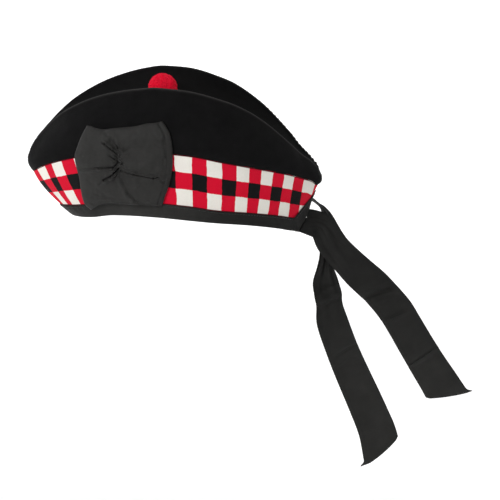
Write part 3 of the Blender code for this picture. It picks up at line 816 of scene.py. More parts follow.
# %% Where the dicing's columns lie
DICING = named_rows("angle number lean", (
    (0.000, 11.8, 0.120),
    (0.211, 11.0, 0.105),
    (0.481, 10.0, 0.065),
    (0.749, 8.0, 0.018),
    (0.981, 6.0, 0.024),
    (1.194, 4.0, 0.028),
    (1.432, 2.0, 0.036),
    (1.659, 0.0, 0.021),
    (2.000, -3.0, 0.000),
    (2.379, -6.0, 0.000),
    (2.624, -8.0, 0.000),
    (2.723, -9.0, 0.030),
    (2.883, -10.0, 0.110),
    (math.pi, -11.5, 0.000),
))
STITCHES_ACROSS, STITCHES_UP = 13, 13   # knitted stitches in one square


def dicing_row(angle, rise):
    """The row, from 0 above the binding to 3 at the band's top."""
    height = np.linalg.norm(band_face(angle, 1.0) - band_face(angle, 0.0), axis=-1)
    start = BINDING_DEPTH * edge_share("lap", angle) / height
    return (rise - start) / (1 - start) * 3


def dicing_column(angle, row):
    """The number of the column at an angle and a row; the strip's two ends meet in front."""
    away = np.abs(angle)
    lean = read_column(DICING, "angle", "lean", away) * (1 - row / 3)
    near = read_column(DICING, "angle", "number", away + lean)
    return np.where(angle >= 0, near, 2 * DICING[0].number - near)


print("columns of dicing on each side:", round(DICING[0].number - DICING[-1].number, 1))

# %% [markdown]
# The knitted look is worked out by the finish. It cuts the strip into stitches, each a small V, and gives a
# whole stitch one colour, so the squares' edges step from stitch to stitch as they do in real knitting. The
# same V shapes feed the bump, and darken the colour between the yarn's arms as painted shade. Narrow lines
# of dark red stand where the strip is turned in at both edges.

# %% Dicing finish
WOOL_WHITE = paint(0.89, 0.86, 0.80)
WOOL_WHITE_SHADE = paint(0.71, 0.67, 0.60)
WOOL_RED = paint(0.72, 0.006, 0.032)
WOOL_RED_SHADE = paint(0.47, 0.003, 0.018)
WOOL_BLACK = paint(0.0085, 0.0085, 0.009)
WOOL_BLACK_SHADE = paint(0.0035, 0.0035, 0.004)
SELVEDGE_RED = paint(0.10, 0.003, 0.008)
TURNED_IN = 1.455                 # rows from the strip's middle line to where its edges are turned in
STITCH_RELIEF = 0.22 * MM


def dicing_finish():
    knit = Finish("diced knit", Sheen_Weight=0.02, Sheen_Roughness=0.5, Specular_IOR_Level=0.08)
    place = knit.attribute("strip")
    column, row = place.axis(X), place.axis(Y)
    wobble = knit.noise(knit.place(), 160.0, 2.0) - 0.5
    across = column * STITCHES_ACROSS + wobble * 1.5
    arm = abs(across.fract() - 0.5)
    up = row * STITCHES_UP + wobble * 1.1 - arm * 0.9
    square = ((across.floor() + 0.5) / STITCHES_ACROSS).floor()
    storey = ((up.floor() + 0.5) / STITCHES_UP).floor()
    odd = (square * 0.5).fract() > 0.25
    middle = abs(storey - 1) < 0.5
    is_black, is_white = odd * middle, (1 - odd) * (1 - middle)
    rib = (1 - abs(arm * 4 - 1)) ** 0.6
    rung = (up.fract() * math.pi).sine() ** 0.5
    relief = rib * (0.45 + rung * 0.55)
    fuzz = knit.noise(knit.place().stretch((1.0, 1.0, 0.6)), 1400.0, 3.0, 0.65)
    # painted shade: each colour darkens between the yarn's arms; the fuzz varies it at random
    lit = (relief * 0.55 + fuzz * 0.7 + 0.05).clamp()
    red = knit.mix(lit, WOOL_RED_SHADE, WOOL_RED)
    white = knit.mix(lit, WOOL_WHITE_SHADE, WOOL_WHITE)
    black = knit.mix(lit, WOOL_BLACK_SHADE, WOOL_BLACK)
    cloth = knit.mix(is_black, knit.mix(is_white, red, white), black)
    turned_in = (abs(row - 1.5) > TURNED_IN).clamp()
    knit.wear(Base_Color=knit.mix(turned_in, cloth, SELVEDGE_RED), Roughness=0.8 + fuzz * 0.2,
              Normal=knit.bump(relief * 0.8 + fuzz * 0.2, STITCH_RELIEF, 0.9))
    return knit.material


def backing_finish():
    backing = Finish("band backing", Sheen_Weight=0.1)
    grain = backing.noise(backing.place(), 900.0, 4.0, 0.6)
    backing.wear(Base_Color=backing.mix(grain, FELT_BLACK, FELT_GREY), Roughness=0.85 + grain * 0.1,
                 Normal=backing.bump(grain, 0.25 * MM, 0.7))
    return backing.material


DICING_KNIT, BACKING = dicing_finish(), backing_finish()
print("finishes:", DICING_KNIT.name, "and", BACKING.name)

# %% [markdown]
# The band itself is a sheet with a row of points for each level. Below the vent's top its columns start at
# the vent's edge, so the notch is cut out without a Boolean. Slow waves keep the knit from looking like a
# turned part; they fade at the top and at the bottom, where the strip is sewn.

# %% The diced band
BAND_COLUMNS, BAND_ROWS = 170, 30
BAND_WAVE, BAND_WAVE_SIZE = 0.35 * MM, 17 * MM


def band_grid():
    notch_rows = int(round(BAND_ROWS * VENT_RISE))
    rises = np.concatenate([np.linspace(0, VENT_RISE, notch_rows, endpoint=False),
                            np.linspace(VENT_RISE, 1, BAND_ROWS - notch_rows)])
    rows, strip = [], []
    for rise in rises:
        near = np.linspace(math.pi, vent_angle(rise), BAND_COLUMNS + 1)
        angles = np.concatenate([near, -near[::-1]])
        sway = np.array([noise.noise(Vector(p) / BAND_WAVE_SIZE) for p in band_face(angles, rise)])
        out = -BAND_WAVE * (sway + 0.6) * 4 * rise * (1 - rise)
        rows.append(band_point(angles, rise, out))
        row = dicing_row(angles, rise)
        columns = dicing_column(angles, row)
        columns[BAND_COLUMNS + 1:] = 2 * DICING[0].number - columns[:BAND_COLUMNS + 1][::-1]
        strip.append(np.stack([columns, row, 0 * angles], axis=1))
    return np.array(rows), np.array(strip)


def cut_vent(piece, columns):
    """Takes out the faces that span the vent, between the two halves' last columns."""
    shape = bmesh.new()
    shape.from_mesh(piece.data)
    shape.faces.ensure_lookup_table()
    spans = [face for number, face in enumerate(shape.faces) if number % (2 * columns + 1) == columns]
    bmesh.ops.delete(shape, geom=spans, context="FACES_ONLY")
    shape.to_mesh(piece.data)
    shape.free()


band_points, strip_places = band_grid()
band = make_sheet("band_dicing", band_points, {"strip": strip_places})
cut_vent(band, BAND_COLUMNS)
weld(band)
band_skin = outer_tree(band)
thicken(band, BAND_WALL, inner_slot=1)
band.data.materials.append(DICING_KNIT)
band.data.materials.append(BACKING)
print("band:", len(band.data.polygons), "faces")

# %% [markdown]
# Three ribbons of one kind finish the cap: the binding, the cockade and the tails. They are ribbed ribbon,
# woven with thick threads across and fine ones along, so the light runs over them in narrow bars. The
# attribute "weave" gives each point its way along and across the ribbon in metres. The ribs, the closer
# threads at the selvedge and a little unevenness feed the colour, the roughness and the bump; in the colour
# the grooves between the ribs are painted shade. The binding and the tails are also darkened by place with
# painted light and shade.

# %% Ribbon finish
RIB_PITCH, RIB_HEIGHT = 0.8 * MM, 0.09 * MM
WARP_PITCH = RIB_PITCH * 0.45
SELVEDGE = 1.1 * MM


def ribbon_finish(name, dark, light, half_width, sheen, gloss, painted_light=None):
    ribbon = Finish(name, Sheen_Weight=sheen, Sheen_Roughness=0.4, Specular_IOR_Level=gloss)
    weave = ribbon.attribute("weave")
    along, across = weave.axis(X), weave.axis(Y)
    slub = ribbon.noise(weave.stretch((1.0, 0.08, 1.0)), 520.0, 2.0)
    ribs = (along * (2 * math.pi / RIB_PITCH) + slub * 1.6).sine() * 0.5 + 0.5
    warp = (across * (2 * math.pi / WARP_PITCH)).sine() * 0.5 + 0.5
    selvedge = (abs(across) > half_width - SELVEDGE).clamp()
    relief = ribs * (1 - selvedge) * 0.8 + warp * 0.2
    cloudy = ribbon.noise(ribbon.place(), 60.0, 3.0, 0.6)
    # painted shade in the grooves between the ribs; the slub and the cloudy noise vary the colour at random
    lit = (relief * 0.4 + slub * 0.35 + cloudy * 0.9 - 0.28).clamp()
    colour = ribbon.mix(lit, dark, light)
    # painted light and shade: the colour is darkened by place along the piece
    if painted_light:
        colour = ribbon.mix(painted_light(ribbon.place().axis(Y), along), paint(0, 0, 0), colour)
    ribbon.wear(Base_Color=colour, Roughness=0.55 + slub * 0.2 - ribs * 0.08,
                Normal=ribbon.bump(relief, RIB_HEIGHT, 0.8))
    return ribbon.material


def painted_binding_light(back, along):
    """Painted light and shade: lightest a little before the middle, darker to the front and the back."""
    return 0.42 + ((back + 0.104) * 20).clamp() * 0.58 - ((back + 0.050) * 10).clamp() * 0.56


def painted_tail_shade(back, along):
    """Painted shade: darkest at the vent, under the cap, and lighter towards the tails' ends."""
    return 0.60 + ((along - 0.08) * 7).clamp() * 0.38


TAIL_WIDTH = 31.5 * MM
BINDING_RIBBON = ribbon_finish("charcoal binding ribbon", paint(0.018, 0.018, 0.0172),
                               paint(0.037, 0.0367, 0.0348), 20 * MM, 0.02, 0.10, painted_binding_light)
COCKADE_RIBBON = ribbon_finish("charcoal cockade ribbon", paint(0.014, 0.0138, 0.0132),
                               paint(0.029, 0.0285, 0.0272), 60 * MM, 0.03, 0.15)
TAIL_RIBBON = ribbon_finish("charcoal tail ribbon", paint(0.0095, 0.0095, 0.0088),
                            paint(0.0245, 0.0242, 0.0228), TAIL_WIDTH / 2, 0.02, 0.12, painted_tail_shade)
print("ribbons:", BINDING_RIBBON.name, "and two more")

# %% [markdown]
# The binding is a ribbon folded over the lower edge, half of it outside and half inside. It also runs up
# both edges of the vent, with a mitre at the corner. Each section is worked out across the fold: down the
# outside, round the edge on a half ellipse and up the inside. The path gives, for each section, the bound
# edge and the line where the ribbon ends, both as an angle and a rise on the band.

# %% The binding's path and section
TAPE = 0.55 * MM
BINDING_GAP = 0.25 * MM
VENT_BINDING = 12.5 * MM          # the binding's depth along the vent's edges
BINDING_COLUMNS, VENT_EDGE_COLUMNS = 210, 25
FLAT_SAMPLES, FOLD_SAMPLES = 8, 9
PUCKER, PUCKER_PITCH, PUCKER_BEAT = 0.16 * MM, 7.5 * MM, 23 * MM
FOLD_SLACK = 0.2 * MM             # how much farther the fold stands off than the ribbon's sides


def binding_path():
    """The bound edge and the ribbon's own edge as angle and rise, and its depth, from front to vent."""
    half = VENT_WIDTH / 2
    slope = math.hypot(half, VENT_HEIGHT)
    shift_x = VENT_BINDING * VENT_HEIGHT / slope
    shift_up = VENT_BINDING * half / slope
    corner_x = half + shift_x - half * (BINDING_DEPTH - shift_up) / VENT_HEIGHT
    top_up = shift_up + (half + shift_x) * VENT_HEIGHT / half

    def inner_edge(angle):
        height = np.linalg.norm(band_face(angle, 1.0) - band_face(angle, 0.0))
        reach = float(BINDING_DEPTH * edge_share("lap", angle))
        return (angle, float(reach / height)), reach

    corner = vent_angle(0)
    inner_corner = back_angle(corner_x, 0.25)
    corner_rise = inner_edge(inner_corner)[0][1]
    path, reaches = [], []
    for share in np.linspace(0, 1, BINDING_COLUMNS + 1):
        edge = math.pi + (corner - math.pi) * share
        inner = math.pi + (inner_corner - math.pi) * share
        inner_place, reach = inner_edge(inner)
        path.append(((edge, 0.0), inner_place))
        reaches.append(reach)
    for share in np.linspace(0, 1, VENT_EDGE_COLUMNS + 1)[1:]:
        rise = VENT_RISE * share
        inner_rise = corner_rise + (top_up / BAND_BACK_RISE - corner_rise) * share
        inner_angle = back_angle(corner_x * (1 - share), inner_rise) if share < 1 else 0.0
        path.append(((vent_angle(rise), rise), (inner_angle, inner_rise)))
        reaches.append(VENT_BINDING)
    return np.array(path), np.array(reaches)


def beyond_edge(path, reaches, depth, out):
    """Points along the path, in from the bound edge by a depth, or past the edge where it is negative."""
    share = depth / BINDING_DEPTH if depth > 0 else (depth / reaches)[:, None]
    places = path[:, 0] + (path[:, 1] - path[:, 0]) * share
    return band_point(np.maximum(places[:, 0], 0.0), places[:, 1], out)


def binding_line(spread):
    """Depth and way out of the ribbon's middle line, down the outside, round and up the inside."""
    down = [(depth, spread) for depth in np.linspace(BINDING_DEPTH, 0, FLAT_SAMPLES)]
    turns = np.linspace(0, math.pi, FOLD_SAMPLES + 2)[1:-1]
    middle, half = -BAND_WALL / 2, BAND_WALL / 2 + spread
    fold = [(-(spread + FOLD_SLACK) * math.sin(turn), middle + half * math.cos(turn)) for turn in turns]
    up = [(depth, -BAND_WALL - spread) for depth in np.linspace(0, BINDING_DEPTH, FLAT_SAMPLES)]
    return down + fold + up


path_points, path_reaches = binding_path()
print("binding:", len(path_points), "sections on each side")

# %% [markdown]
# A ribbon that is folded round a curve puckers a little between its stitches. A short wave along the path
# pushes it in and out, most at its free edge. Where the two stretches meet at the vent's corner the ribbon
# is folded on itself, and a raised line along the mitre shows it.

# %% The binding
MITRE_RAISE, MITRE_BREADTH = 0.55 * MM, 2.2


def binding_grid(path, reaches):
    edge = beyond_edge(path, reaches, 0.0, 0.0)
    travelled = run_lengths(edge)
    wave = np.sin(2 * math.pi * travelled / PUCKER_PITCH) * np.sin(travelled / PUCKER_BEAT)
    mitre = hump(np.arange(len(path)) - BINDING_COLUMNS, MITRE_BREADTH)
    rows, weave = [], []
    line = binding_line(BINDING_GAP + TAPE / 2)
    across = -BINDING_DEPTH
    for number, (depth, out) in enumerate(line):
        if number:
            last = line[number - 1]
            across += math.hypot(depth - last[0], out - last[1])
        outer = 1.0 if out > -BAND_WALL / 2 else -1.0
        puff = (PUCKER * wave * max(depth, 0) / BINDING_DEPTH + MITRE_RAISE * mitre) * outer
        rows.append(beyond_edge(path, reaches, depth, out + puff))
        weave.append(np.stack([travelled, np.full_like(travelled, across), 0 * travelled], axis=1))
    return np.array(rows)[::-1], np.array(weave)[::-1]


def both_sides(points, weave):
    """Adds the wearer's right-hand half of a grid that ends in the middle behind."""
    turned = weave[:, ::-1] * MIRROR
    turned[..., X] += 2 * weave[:, -1:, X]
    return np.concatenate([points, points[:, ::-1] * MIRROR], axis=1), np.concatenate([weave, turned], axis=1)


binding_points, binding_weave = binding_grid(path_points, path_reaches)
binding_points, binding_weave = both_sides(binding_points, binding_weave)
binding = make_sheet("binding_ribbon_fold", binding_points, {"weave": binding_weave})
weld(binding)
thicken(binding, TAPE, offset=0)
binding_skin = outer_tree(binding)
binding.data.materials.append(BINDING_RIBBON)
print("binding:", len(binding.data.polygons), "faces")

# %% [markdown]
# The toorie is a wool tuft: yarn ends bound in the middle and trimmed to a ball. About two thousand short,
# blunt yarn ends stand on a core here, spread evenly by the golden angle and jittered, so that the surface
# is made of tips as the real one is. Its finish is bright at their tips and darkened between the ends as
# painted shade.

# %% Toorie finish
TOORIE_RED = paint(0.90, 0.006, 0.040)
TOORIE_RED_IN_SHADE = paint(0.36, 0.002, 0.013)
TOORIE_LIGHT = paint(0.95, 0.05, 0.085)


def toorie_finish():
    wool = Finish("red wool yarn", Sheen_Weight=0.08, Sheen_Roughness=0.5,
                  Sheen_Tint=paint(1.0, 0.35, 0.4), Specular_IOR_Level=0.08)
    tip = wool.attribute("tip", "Fac")
    fleck = wool.noise(wool.place(), 700.0, 3.0, 0.6)
    # painted shade: the yarn darkens towards its foot, deep between the ends
    red = wool.mix((tip * 0.75 + fleck * 0.35).clamp(), TOORIE_RED_IN_SHADE, TOORIE_RED)
    wool.wear(Base_Color=wool.mix((fleck * 1.2 - 0.65).clamp(), red, TOORIE_LIGHT),
              Roughness=0.8 + fleck * 0.2, Normal=wool.bump(fleck, 0.25 * MM, 0.8))
    return wool.material


TOORIE_WOOL = toorie_finish()
print("finish:", TOORIE_WOOL.name)

# %% [markdown]
# The box of the frame's solid gives the ball's middle and its size. Below, where the ball sits in the
# valley, it is pressed short against the felt. A ray from the middle to the crown's skin says how far an
# end can run there.

# %% The toorie's ball
TOORIE_TRIM, TOORIE_SHIFT = 0.5 * MM, np.array([0, -0.5, -0.3]) * MM
GOLDEN_ANGLE = math.pi * (3 - math.sqrt(5))
JITTER = 0.018
CLEARANCE = 0.2 * MM


def toorie_ball():
    """The toorie's middle and radius."""
    low, high = (np.array(corner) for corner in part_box("toorie"))
    radius = (high[X] - low[X]) / 2 - TOORIE_TRIM
    return np.array([0, (low[Y] + high[Y]) / 2, high[Z] - radius]) + TOORIE_SHIFT, radius


def golden_directions(count, chance):
    """Directions spread evenly over a ball, each a little off its place."""
    height = 1 - 2 * (np.arange(count) + 0.5) / count
    turned = np.arange(count) * GOLDEN_ANGLE
    flat = np.sqrt(1 - height ** 2)
    ball = np.stack([flat * np.cos(turned), flat * np.sin(turned), height], axis=1)
    return unit(ball + chance.normal(size=ball.shape) * JITTER)


def clear_of_crown(direction, reach):
    """How far a yarn end can run before it meets the felt."""
    hit = crown_skin.ray_cast(Vector(toorie_middle), Vector(direction), float(reach))
    return hit[3] - CLEARANCE if hit[0] is not None else reach


toorie_middle, toorie_radius = toorie_ball()
print("toorie's radius:", round(toorie_radius / MM, 1), "mm")

# %% [markdown]
# A yarn end is a short tube that swells a little and closes in a blunt tip. All of them are computed
# together: every end has the same rings, turned to its own direction. The stitches further on are tubes of
# the same kind, so the function that joins rings into faces serves both.

# %% The toorie
YARN_ENDS, YARN_SIDES = 2100, 6
YARN_WIDTH = 1.55 * MM
YARN_RINGS = named_rows("share swell", ((0.0, 0.75), (0.55, 1.0), (0.88, 0.80), (1.0, 0.34)))
YARN_BEND = 0.10
CORE_SHARE, CORE_OVERLAP, CORE_LUMPS = 0.80, 0.06, 0.5 * MM
TRIM_UNEVEN = 1.25 * MM
CORE_TIP = 0.15                   # the core takes the yarn's painted shade near its foot


def tube_faces(count, rings, sides):
    """The faces round many equal tubes, and the number of each tube's first point."""
    first = np.arange(count)[:, None] * rings * sides
    faces = []
    for ring in range(rings - 1):
        for corner in range(sides):
            a, b = ring * sides + corner, ring * sides + (corner + 1) % sides
            faces.append(first + np.array([[a, b, b + sides, a + sides]]))
    return np.concatenate(faces).tolist(), first


def make_yarn():
    chance = np.random.default_rng(5)
    directions = golden_directions(YARN_ENDS, chance)
    bend = unit(directions + chance.normal(size=directions.shape) * YARN_BEND)
    side = unit(np.cross(bend, np.array([0.2, 0.5, 0.84])))
    other = np.cross(bend, side)
    reach = toorie_radius + TRIM_UNEVEN * (chance.random(YARN_ENDS) - 0.75)
    reach = np.array([min(r, clear_of_crown(d, r)) for r, d in zip(reach, directions)])
    width = YARN_WIDTH * (0.75 + 0.5 * chance.random(YARN_ENDS))
    root = toorie_middle + directions * toorie_radius * CORE_SHARE
    span = reach - toorie_radius * CORE_SHARE
    corners, tips = [], []
    for ring in YARN_RINGS:
        centres = root + bend * (span * ring.share)[:, None]
        corners += ring_corners(centres, side, other, (width * ring.swell / 2)[:, None], YARN_SIDES)
        tips += [np.full(YARN_ENDS, ring.share)] * YARN_SIDES
    points = np.stack(corners, axis=1)
    faces, first = tube_faces(YARN_ENDS, len(YARN_RINGS), YARN_SIDES)
    blunt_ends = first + np.arange(len(corners) - YARN_SIDES, len(corners))[None]
    yarn = link("toorie_yarn", points, faces + blunt_ends.tolist())
    attach(yarn, "tip", np.stack(tips, axis=1).reshape(-1, 1))
    return yarn


def make_core():
    """The ball that the yarn ends stand on."""
    ball = bmesh.new()
    bmesh.ops.create_icosphere(ball, subdivisions=5, radius=toorie_radius * (CORE_SHARE + CORE_OVERLAP))
    for vert in ball.verts:
        direction = vert.co.normalized()
        lumps = noise.noise(direction * 9) * CORE_LUMPS
        reach = min(vert.co.length + lumps, clear_of_crown(np.array(direction), vert.co.length))
        vert.co = Vector(toorie_middle) + direction * reach
    ball.verts.index_update()
    points = np.array([vert.co for vert in ball.verts])
    core = link("toorie_core", points, [[vert.index for vert in face.verts] for face in ball.faces])
    ball.free()
    attach(core, "tip", np.full((len(points), 1), CORE_TIP))
    return core


toorie_yarn, toorie_core = make_yarn(), make_core()
for piece in (toorie_yarn, toorie_core):
    piece.data.materials.append(TOORIE_WOOL)
print("toorie:", len(toorie_yarn.data.polygons), "faces of yarn")

# %% [markdown]
# Trimmed wool also sheds fine fibres. A few thousand hairs in a lighter red stand off the ball and give it
# the soft rim that it has against the black felt.

# %% Toorie fuzz
FUZZ_HAIRS, FUZZ_LENGTH, FUZZ_THICKNESS = 8000, 1.3 * MM, 0.07 * MM
FUZZ_LEAN, FUZZ_SUNK = 0.55, 0.9 * MM


def make_fuzz():
    chance = np.random.default_rng(23)
    directions = golden_directions(FUZZ_HAIRS, chance)
    in_the_open = [clear_of_crown(way, toorie_radius * 1.1) > toorie_radius for way in directions]
    directions = directions[np.array(in_the_open)]
    lean = unit(directions + chance.normal(size=directions.shape) * FUZZ_LEAN)
    roots = toorie_middle + directions * (toorie_radius - FUZZ_SUNK)
    lengths = FUZZ_LENGTH * (0.5 + 0.5 * chance.random(len(directions)))
    fuzz = grow_hairs("toorie_fuzz", roots, lean, lengths, FUZZ_THICKNESS)
    stray = Finish("red wool fibres", Roughness=0.9, Base_Color=paint(1.0, 0.12, 0.17))
    fuzz.data.materials.append(stray.material)
    return fuzz


toorie_fuzz = make_fuzz()
print("fuzz:", len(toorie_fuzz.data.polygons), "faces")

# %% [markdown]
# The cockade is a wide ribbon laid in a flattened loop and gathered at its middle. Its outline comes from
# two tables, one for the sides and one for the upper and lower hems, in halves of its width and height. The
# ears at the corners and the slack of the hems are in these rows.

# %% The cockade's outline
COCKADE_WIDTH, COCKADE_HEIGHT = 86.5 * MM, 76 * MM
COCKADE_BACK, COCKADE_UP = -57 * MM, 62.5 * MM
COCKADE_PUFF, COCKADE_FLAT = 6.5 * MM, 1.7 * MM
HALF_SIZE = np.array([COCKADE_WIDTH, COCKADE_HEIGHT]) / 2

COCKADE_SIDES = named_rows("up front back", (
    (0.00, -0.642, 0.830),
    (0.06, -0.789, 0.860),
    (0.11, -0.825, 0.880),
    (0.24, -0.877, 0.945),
    (0.37, -0.913, 0.992),
    (0.50, -0.980, 1.004),
    (0.64, -1.027, 0.992),
    (0.73, -0.988, 0.975),
    (0.85, -0.924, 0.925),
    (0.94, -0.855, 0.833),
    (1.00, -0.802, 0.741),
))
COCKADE_HEMS = named_rows("across low high", (
    (0.00, -1.225, 0.786),
    (0.06, -1.130, 0.784),
    (0.13, -1.040, 0.762),
    (0.21, -0.985, 0.760),
    (0.36, -0.945, 0.820),
    (0.57, -0.930, 0.893),
    (0.66, -0.910, 0.928),
    (0.80, -0.905, 1.008),
    (0.94, -0.912, 1.052),
    (1.00, -0.907, 1.094),
))


def cockade_place(across, up):
    """A point of the outline grid, in halves of the cockade's width and height from its middle."""
    front = read_column(COCKADE_SIDES, "up", "front", up)
    back = read_column(COCKADE_SIDES, "up", "back", up)
    low = read_column(COCKADE_HEMS, "across", "low", across)
    high = read_column(COCKADE_HEMS, "across", "high", across)
    return np.stack([front + (back - front) * across, low + (high - low) * up], axis=-1)


print("cockade:", COCKADE_WIDTH / MM, "by", COCKADE_HEIGHT / MM, "mm")

# %% [markdown]
# The gather draws the ribbon in along a short upright line, and folds run out from it. A fold is a crease
# with a lip: the ribbon dips sharply and rises on one side of the dip. Each row of the table is one stretch
# of a fold, with its depth at both ends, so a fold can start deep at the gather and die away, or bend. Its
# places and its breadth are in halves of the cockade's size. A negative lip rises on the other side.

# %% Gather and folds
GATHER_AT, GATHER_HALF = np.array([-0.094, -0.004]), np.array([0.095, 0.24])
GATHER_DEPTH = 0.62
FOLD_DEPTH = 2.9 * MM
LIP_SHARE, LIP_AT, LIP_BREADTH = 0.75, 1.9, 1.3   # height, place and breadth against the crease's

GATHER_FOLDS = named_rows("back_1 up_1 back_2 up_2 depth_1 depth_2 breadth lip", (
    (-0.130, 0.250, -0.270, 0.375, 1.00, 0.95, 0.017, 0.8),
    (-0.270, 0.375, -0.400, 0.465, 0.95, 0.75, 0.018, 0.7),
    (-0.400, 0.465, -0.490, 0.500, 0.75, 0.05, 0.022, 0.5),
    (-0.120, 0.400, -0.260, 0.560, 0.30, 0.34, 0.045, 0.9),
    (-0.260, 0.560, -0.431, 0.777, 0.34, 0.22, 0.055, 0.8),
    (-0.072, 0.062, -0.190, 0.140, 0.95, 0.85, 0.016, 0.8),
    (-0.190, 0.140, -0.307, 0.208, 0.85, 0.15, 0.018, 0.7),
    (-0.206, -0.100, -0.093, 0.064, 0.85, 0.70, 0.015, 0.7),
    (-0.188, -0.206, -0.080, -0.084, 0.85, 0.80, 0.015, -0.7),
    (-0.200, -0.075, -0.500, -0.125, 0.75, 0.55, 0.017, -0.9),
    (-0.500, -0.125, -0.883, -0.238, 0.50, 0.22, 0.022, -0.9),
    (-0.098, -0.117, -0.246, -0.302, 0.95, 0.95, 0.018, -0.8),
    (-0.246, -0.302, -0.380, -0.405, 0.95, 0.85, 0.020, -0.8),
    (-0.380, -0.405, -0.470, -0.536, 0.85, 0.10, 0.024, -0.6),
    (-0.043, -0.136, 0.229, -0.180, 0.45, 0.60, 0.020, -0.9),
    (0.229, -0.180, 0.645, -0.229, 0.60, 0.75, 0.018, -0.9),
    (0.645, -0.229, 0.725, -0.195, 0.90, 0.70, 0.022, -0.5),
    (-0.046, -0.272, 0.137, -0.656, 0.30, 0.28, 0.036, 0.9),
    (0.137, -0.656, 0.295, -0.813, 0.28, 0.26, 0.036, 0.9),
    (0.295, -0.813, 0.529, -0.882, 0.26, 0.15, 0.036, 0.8),
    (-0.001, 0.393, 0.244, 0.474, 0.32, 0.08, 0.045, 0.6),
    (0.010, 0.345, 0.130, 0.400, 0.45, 0.10, 0.022, 0.6),
    (-0.020, 0.030, 0.100, -0.060, 0.42, 0.12, 0.024, 0.6),
    (-0.104, -0.183, -0.142, -0.286, 0.85, 0.30, 0.018, 0.7),
    (-0.115, 0.395, -0.175, 0.506, 0.90, 0.25, 0.017, 0.7),
    (-0.550, 0.560, -0.620, 0.380, 0.10, 0.14, 0.050, 0.7),
    (-0.600, 0.300, -0.820, 0.330, 0.05, 0.14, 0.060, 0.5),
    (-0.620, -0.560, -0.300, -0.800, 0.12, 0.12, 0.060, 0.6),
    (-0.780, -1.020, -0.480, -0.800, 0.10, 0.20, 0.035, 0.9),
    (-0.480, -0.800, -0.100, -0.820, 0.20, 0.12, 0.040, 0.9),
    (0.800, 0.700, 0.860, 0.300, 0.22, 0.30, 0.022, 0.8),
    (0.830, 0.300, 0.850, -0.200, 0.16, 0.22, 0.030, -0.8),
    (0.760, -0.250, 0.870, -0.330, 0.30, 0.20, 0.024, 0.6),
    (0.300, -0.600, 0.440, -0.740, 0.08, 0.14, 0.070, 0.4),
    (0.120, 0.720, 0.050, 0.400, 0.05, 0.14, 0.080, 0.4),
))


def fold_relief(place):
    """How far the folds move the ribbon, in metres; negative is inward."""
    relief = np.zeros(place.shape[:-1])
    for fold in GATHER_FOLDS:
        start = np.array([fold.back_1, fold.up_1]) * HALF_SIZE
        line = np.array([fold.back_2, fold.up_2]) * HALF_SIZE - start
        away = place * HALF_SIZE - start
        share = np.clip((away @ line) / (line @ line), 0, 1)
        off = away - share[..., None] * line
        distance = np.linalg.norm(off, axis=-1)
        side = np.sign(off[..., 0] * line[1] - off[..., 1] * line[0])
        breadth = fold.breadth * HALF_SIZE[0]
        depth = fold.depth_1 + (fold.depth_2 - fold.depth_1) * share
        crease = -hump(distance, breadth)
        beside = side * distance * np.sign(fold.lip) - LIP_AT * breadth
        raised = hump(beside, LIP_BREADTH * breadth) * abs(fold.lip) * LIP_SHARE
        relief += (crease + raised) * depth * FOLD_DEPTH
    return relief


print("folds of the cockade:", len(GATHER_FOLDS))

# %% [markdown]
# The ribbon's two layers meet in a soft pressed fold at each side. Near the right-hand one the upper layer
# is creased once more from hem to hem, a few millimetres in from the edge, which leaves a narrow strip. The
# upper layer puffs up between the gather and the edges and lies flat at the hems.

# %% The cockade's relief
EDGE_CREASE_AT, EDGE_CREASE_DEPTH, EDGE_CREASE_BREADTH = 0.945, 1.1 * MM, 0.012
EDGE_SHELF, SHELF_RUN = 1.2 * MM, 0.02     # how far the strip beyond the crease lies back, and how soon
SLACK, LEAST_DEPTH = 1.05 * MM, 0.35 * MM
WIDE_PULL = 2.6                   # the gather also draws at the ribbon this many times farther out
SLACK_WAVES = named_rows("back up seed size", ((4.2, 3.6, 2.7, 1.0), (12.0, 9.0, 5.1, 0.4)))


def cockade_depth(across, up):
    """How far the front layer stands off the back one, in metres."""
    place = cockade_place(across, up)
    edge = np.clip(1 - np.abs(2 * across - 1) ** 3.4, 0, 1) ** 0.6
    hem = 0.42 + 0.58 * np.sqrt(np.sin(np.pi * np.clip(up, 0, 1)))
    pull = np.sum(((place - GATHER_AT) / GATHER_HALF) ** 2, axis=-1)
    wide = np.sum(((place - GATHER_AT) / (GATHER_HALF * WIDE_PULL)) ** 2, axis=-1)
    puff = edge * hem * (1 - GATHER_DEPTH * (0.55 * np.exp(-pull) + 0.45 * np.exp(-wide)))
    crease = EDGE_CREASE_DEPTH * hump(across - EDGE_CREASE_AT, EDGE_CREASE_BREADTH)
    shelf = EDGE_SHELF * np.clip((across - EDGE_CREASE_AT) / SHELF_RUN, 0, 1) * edge
    waves = [sum(wave.size * noise.noise(Vector((b * wave.back, u * wave.up, wave.seed)))
                 for wave in SLACK_WAVES) for b, u in place.reshape(-1, 2)]
    slack = np.array(waves).reshape(across.shape) * SLACK * edge
    relief = fold_relief(place) * np.clip(edge * 1.6, 0, 1)
    depth = COCKADE_FLAT * 0.6 + COCKADE_PUFF * puff + relief + slack - crease - shelf
    return np.maximum(depth, LEAST_DEPTH)


print("the ribbon's slack:", round(SLACK / MM, 2), "mm")

# %% [markdown]
# The cockade lies on the cap's side, which is not flat: the crown swells out over the band. Rays cast from
# the left find how far the side stands out, on a coarse grid that is then read smoothly. The cockade's own
# grid is finer round the gather, because the sharpest folds meet there.

# %% What the cockade lies on
COCKADE_BRIDGE = 4 * MM           # the ribbon spans hollows narrower than about twice this
WALL_COLUMNS, WALL_LEVELS = 40, 34
GATHER_COLUMN, GATHER_LEVEL, CROWDING = 0.43, 0.47, 0.6


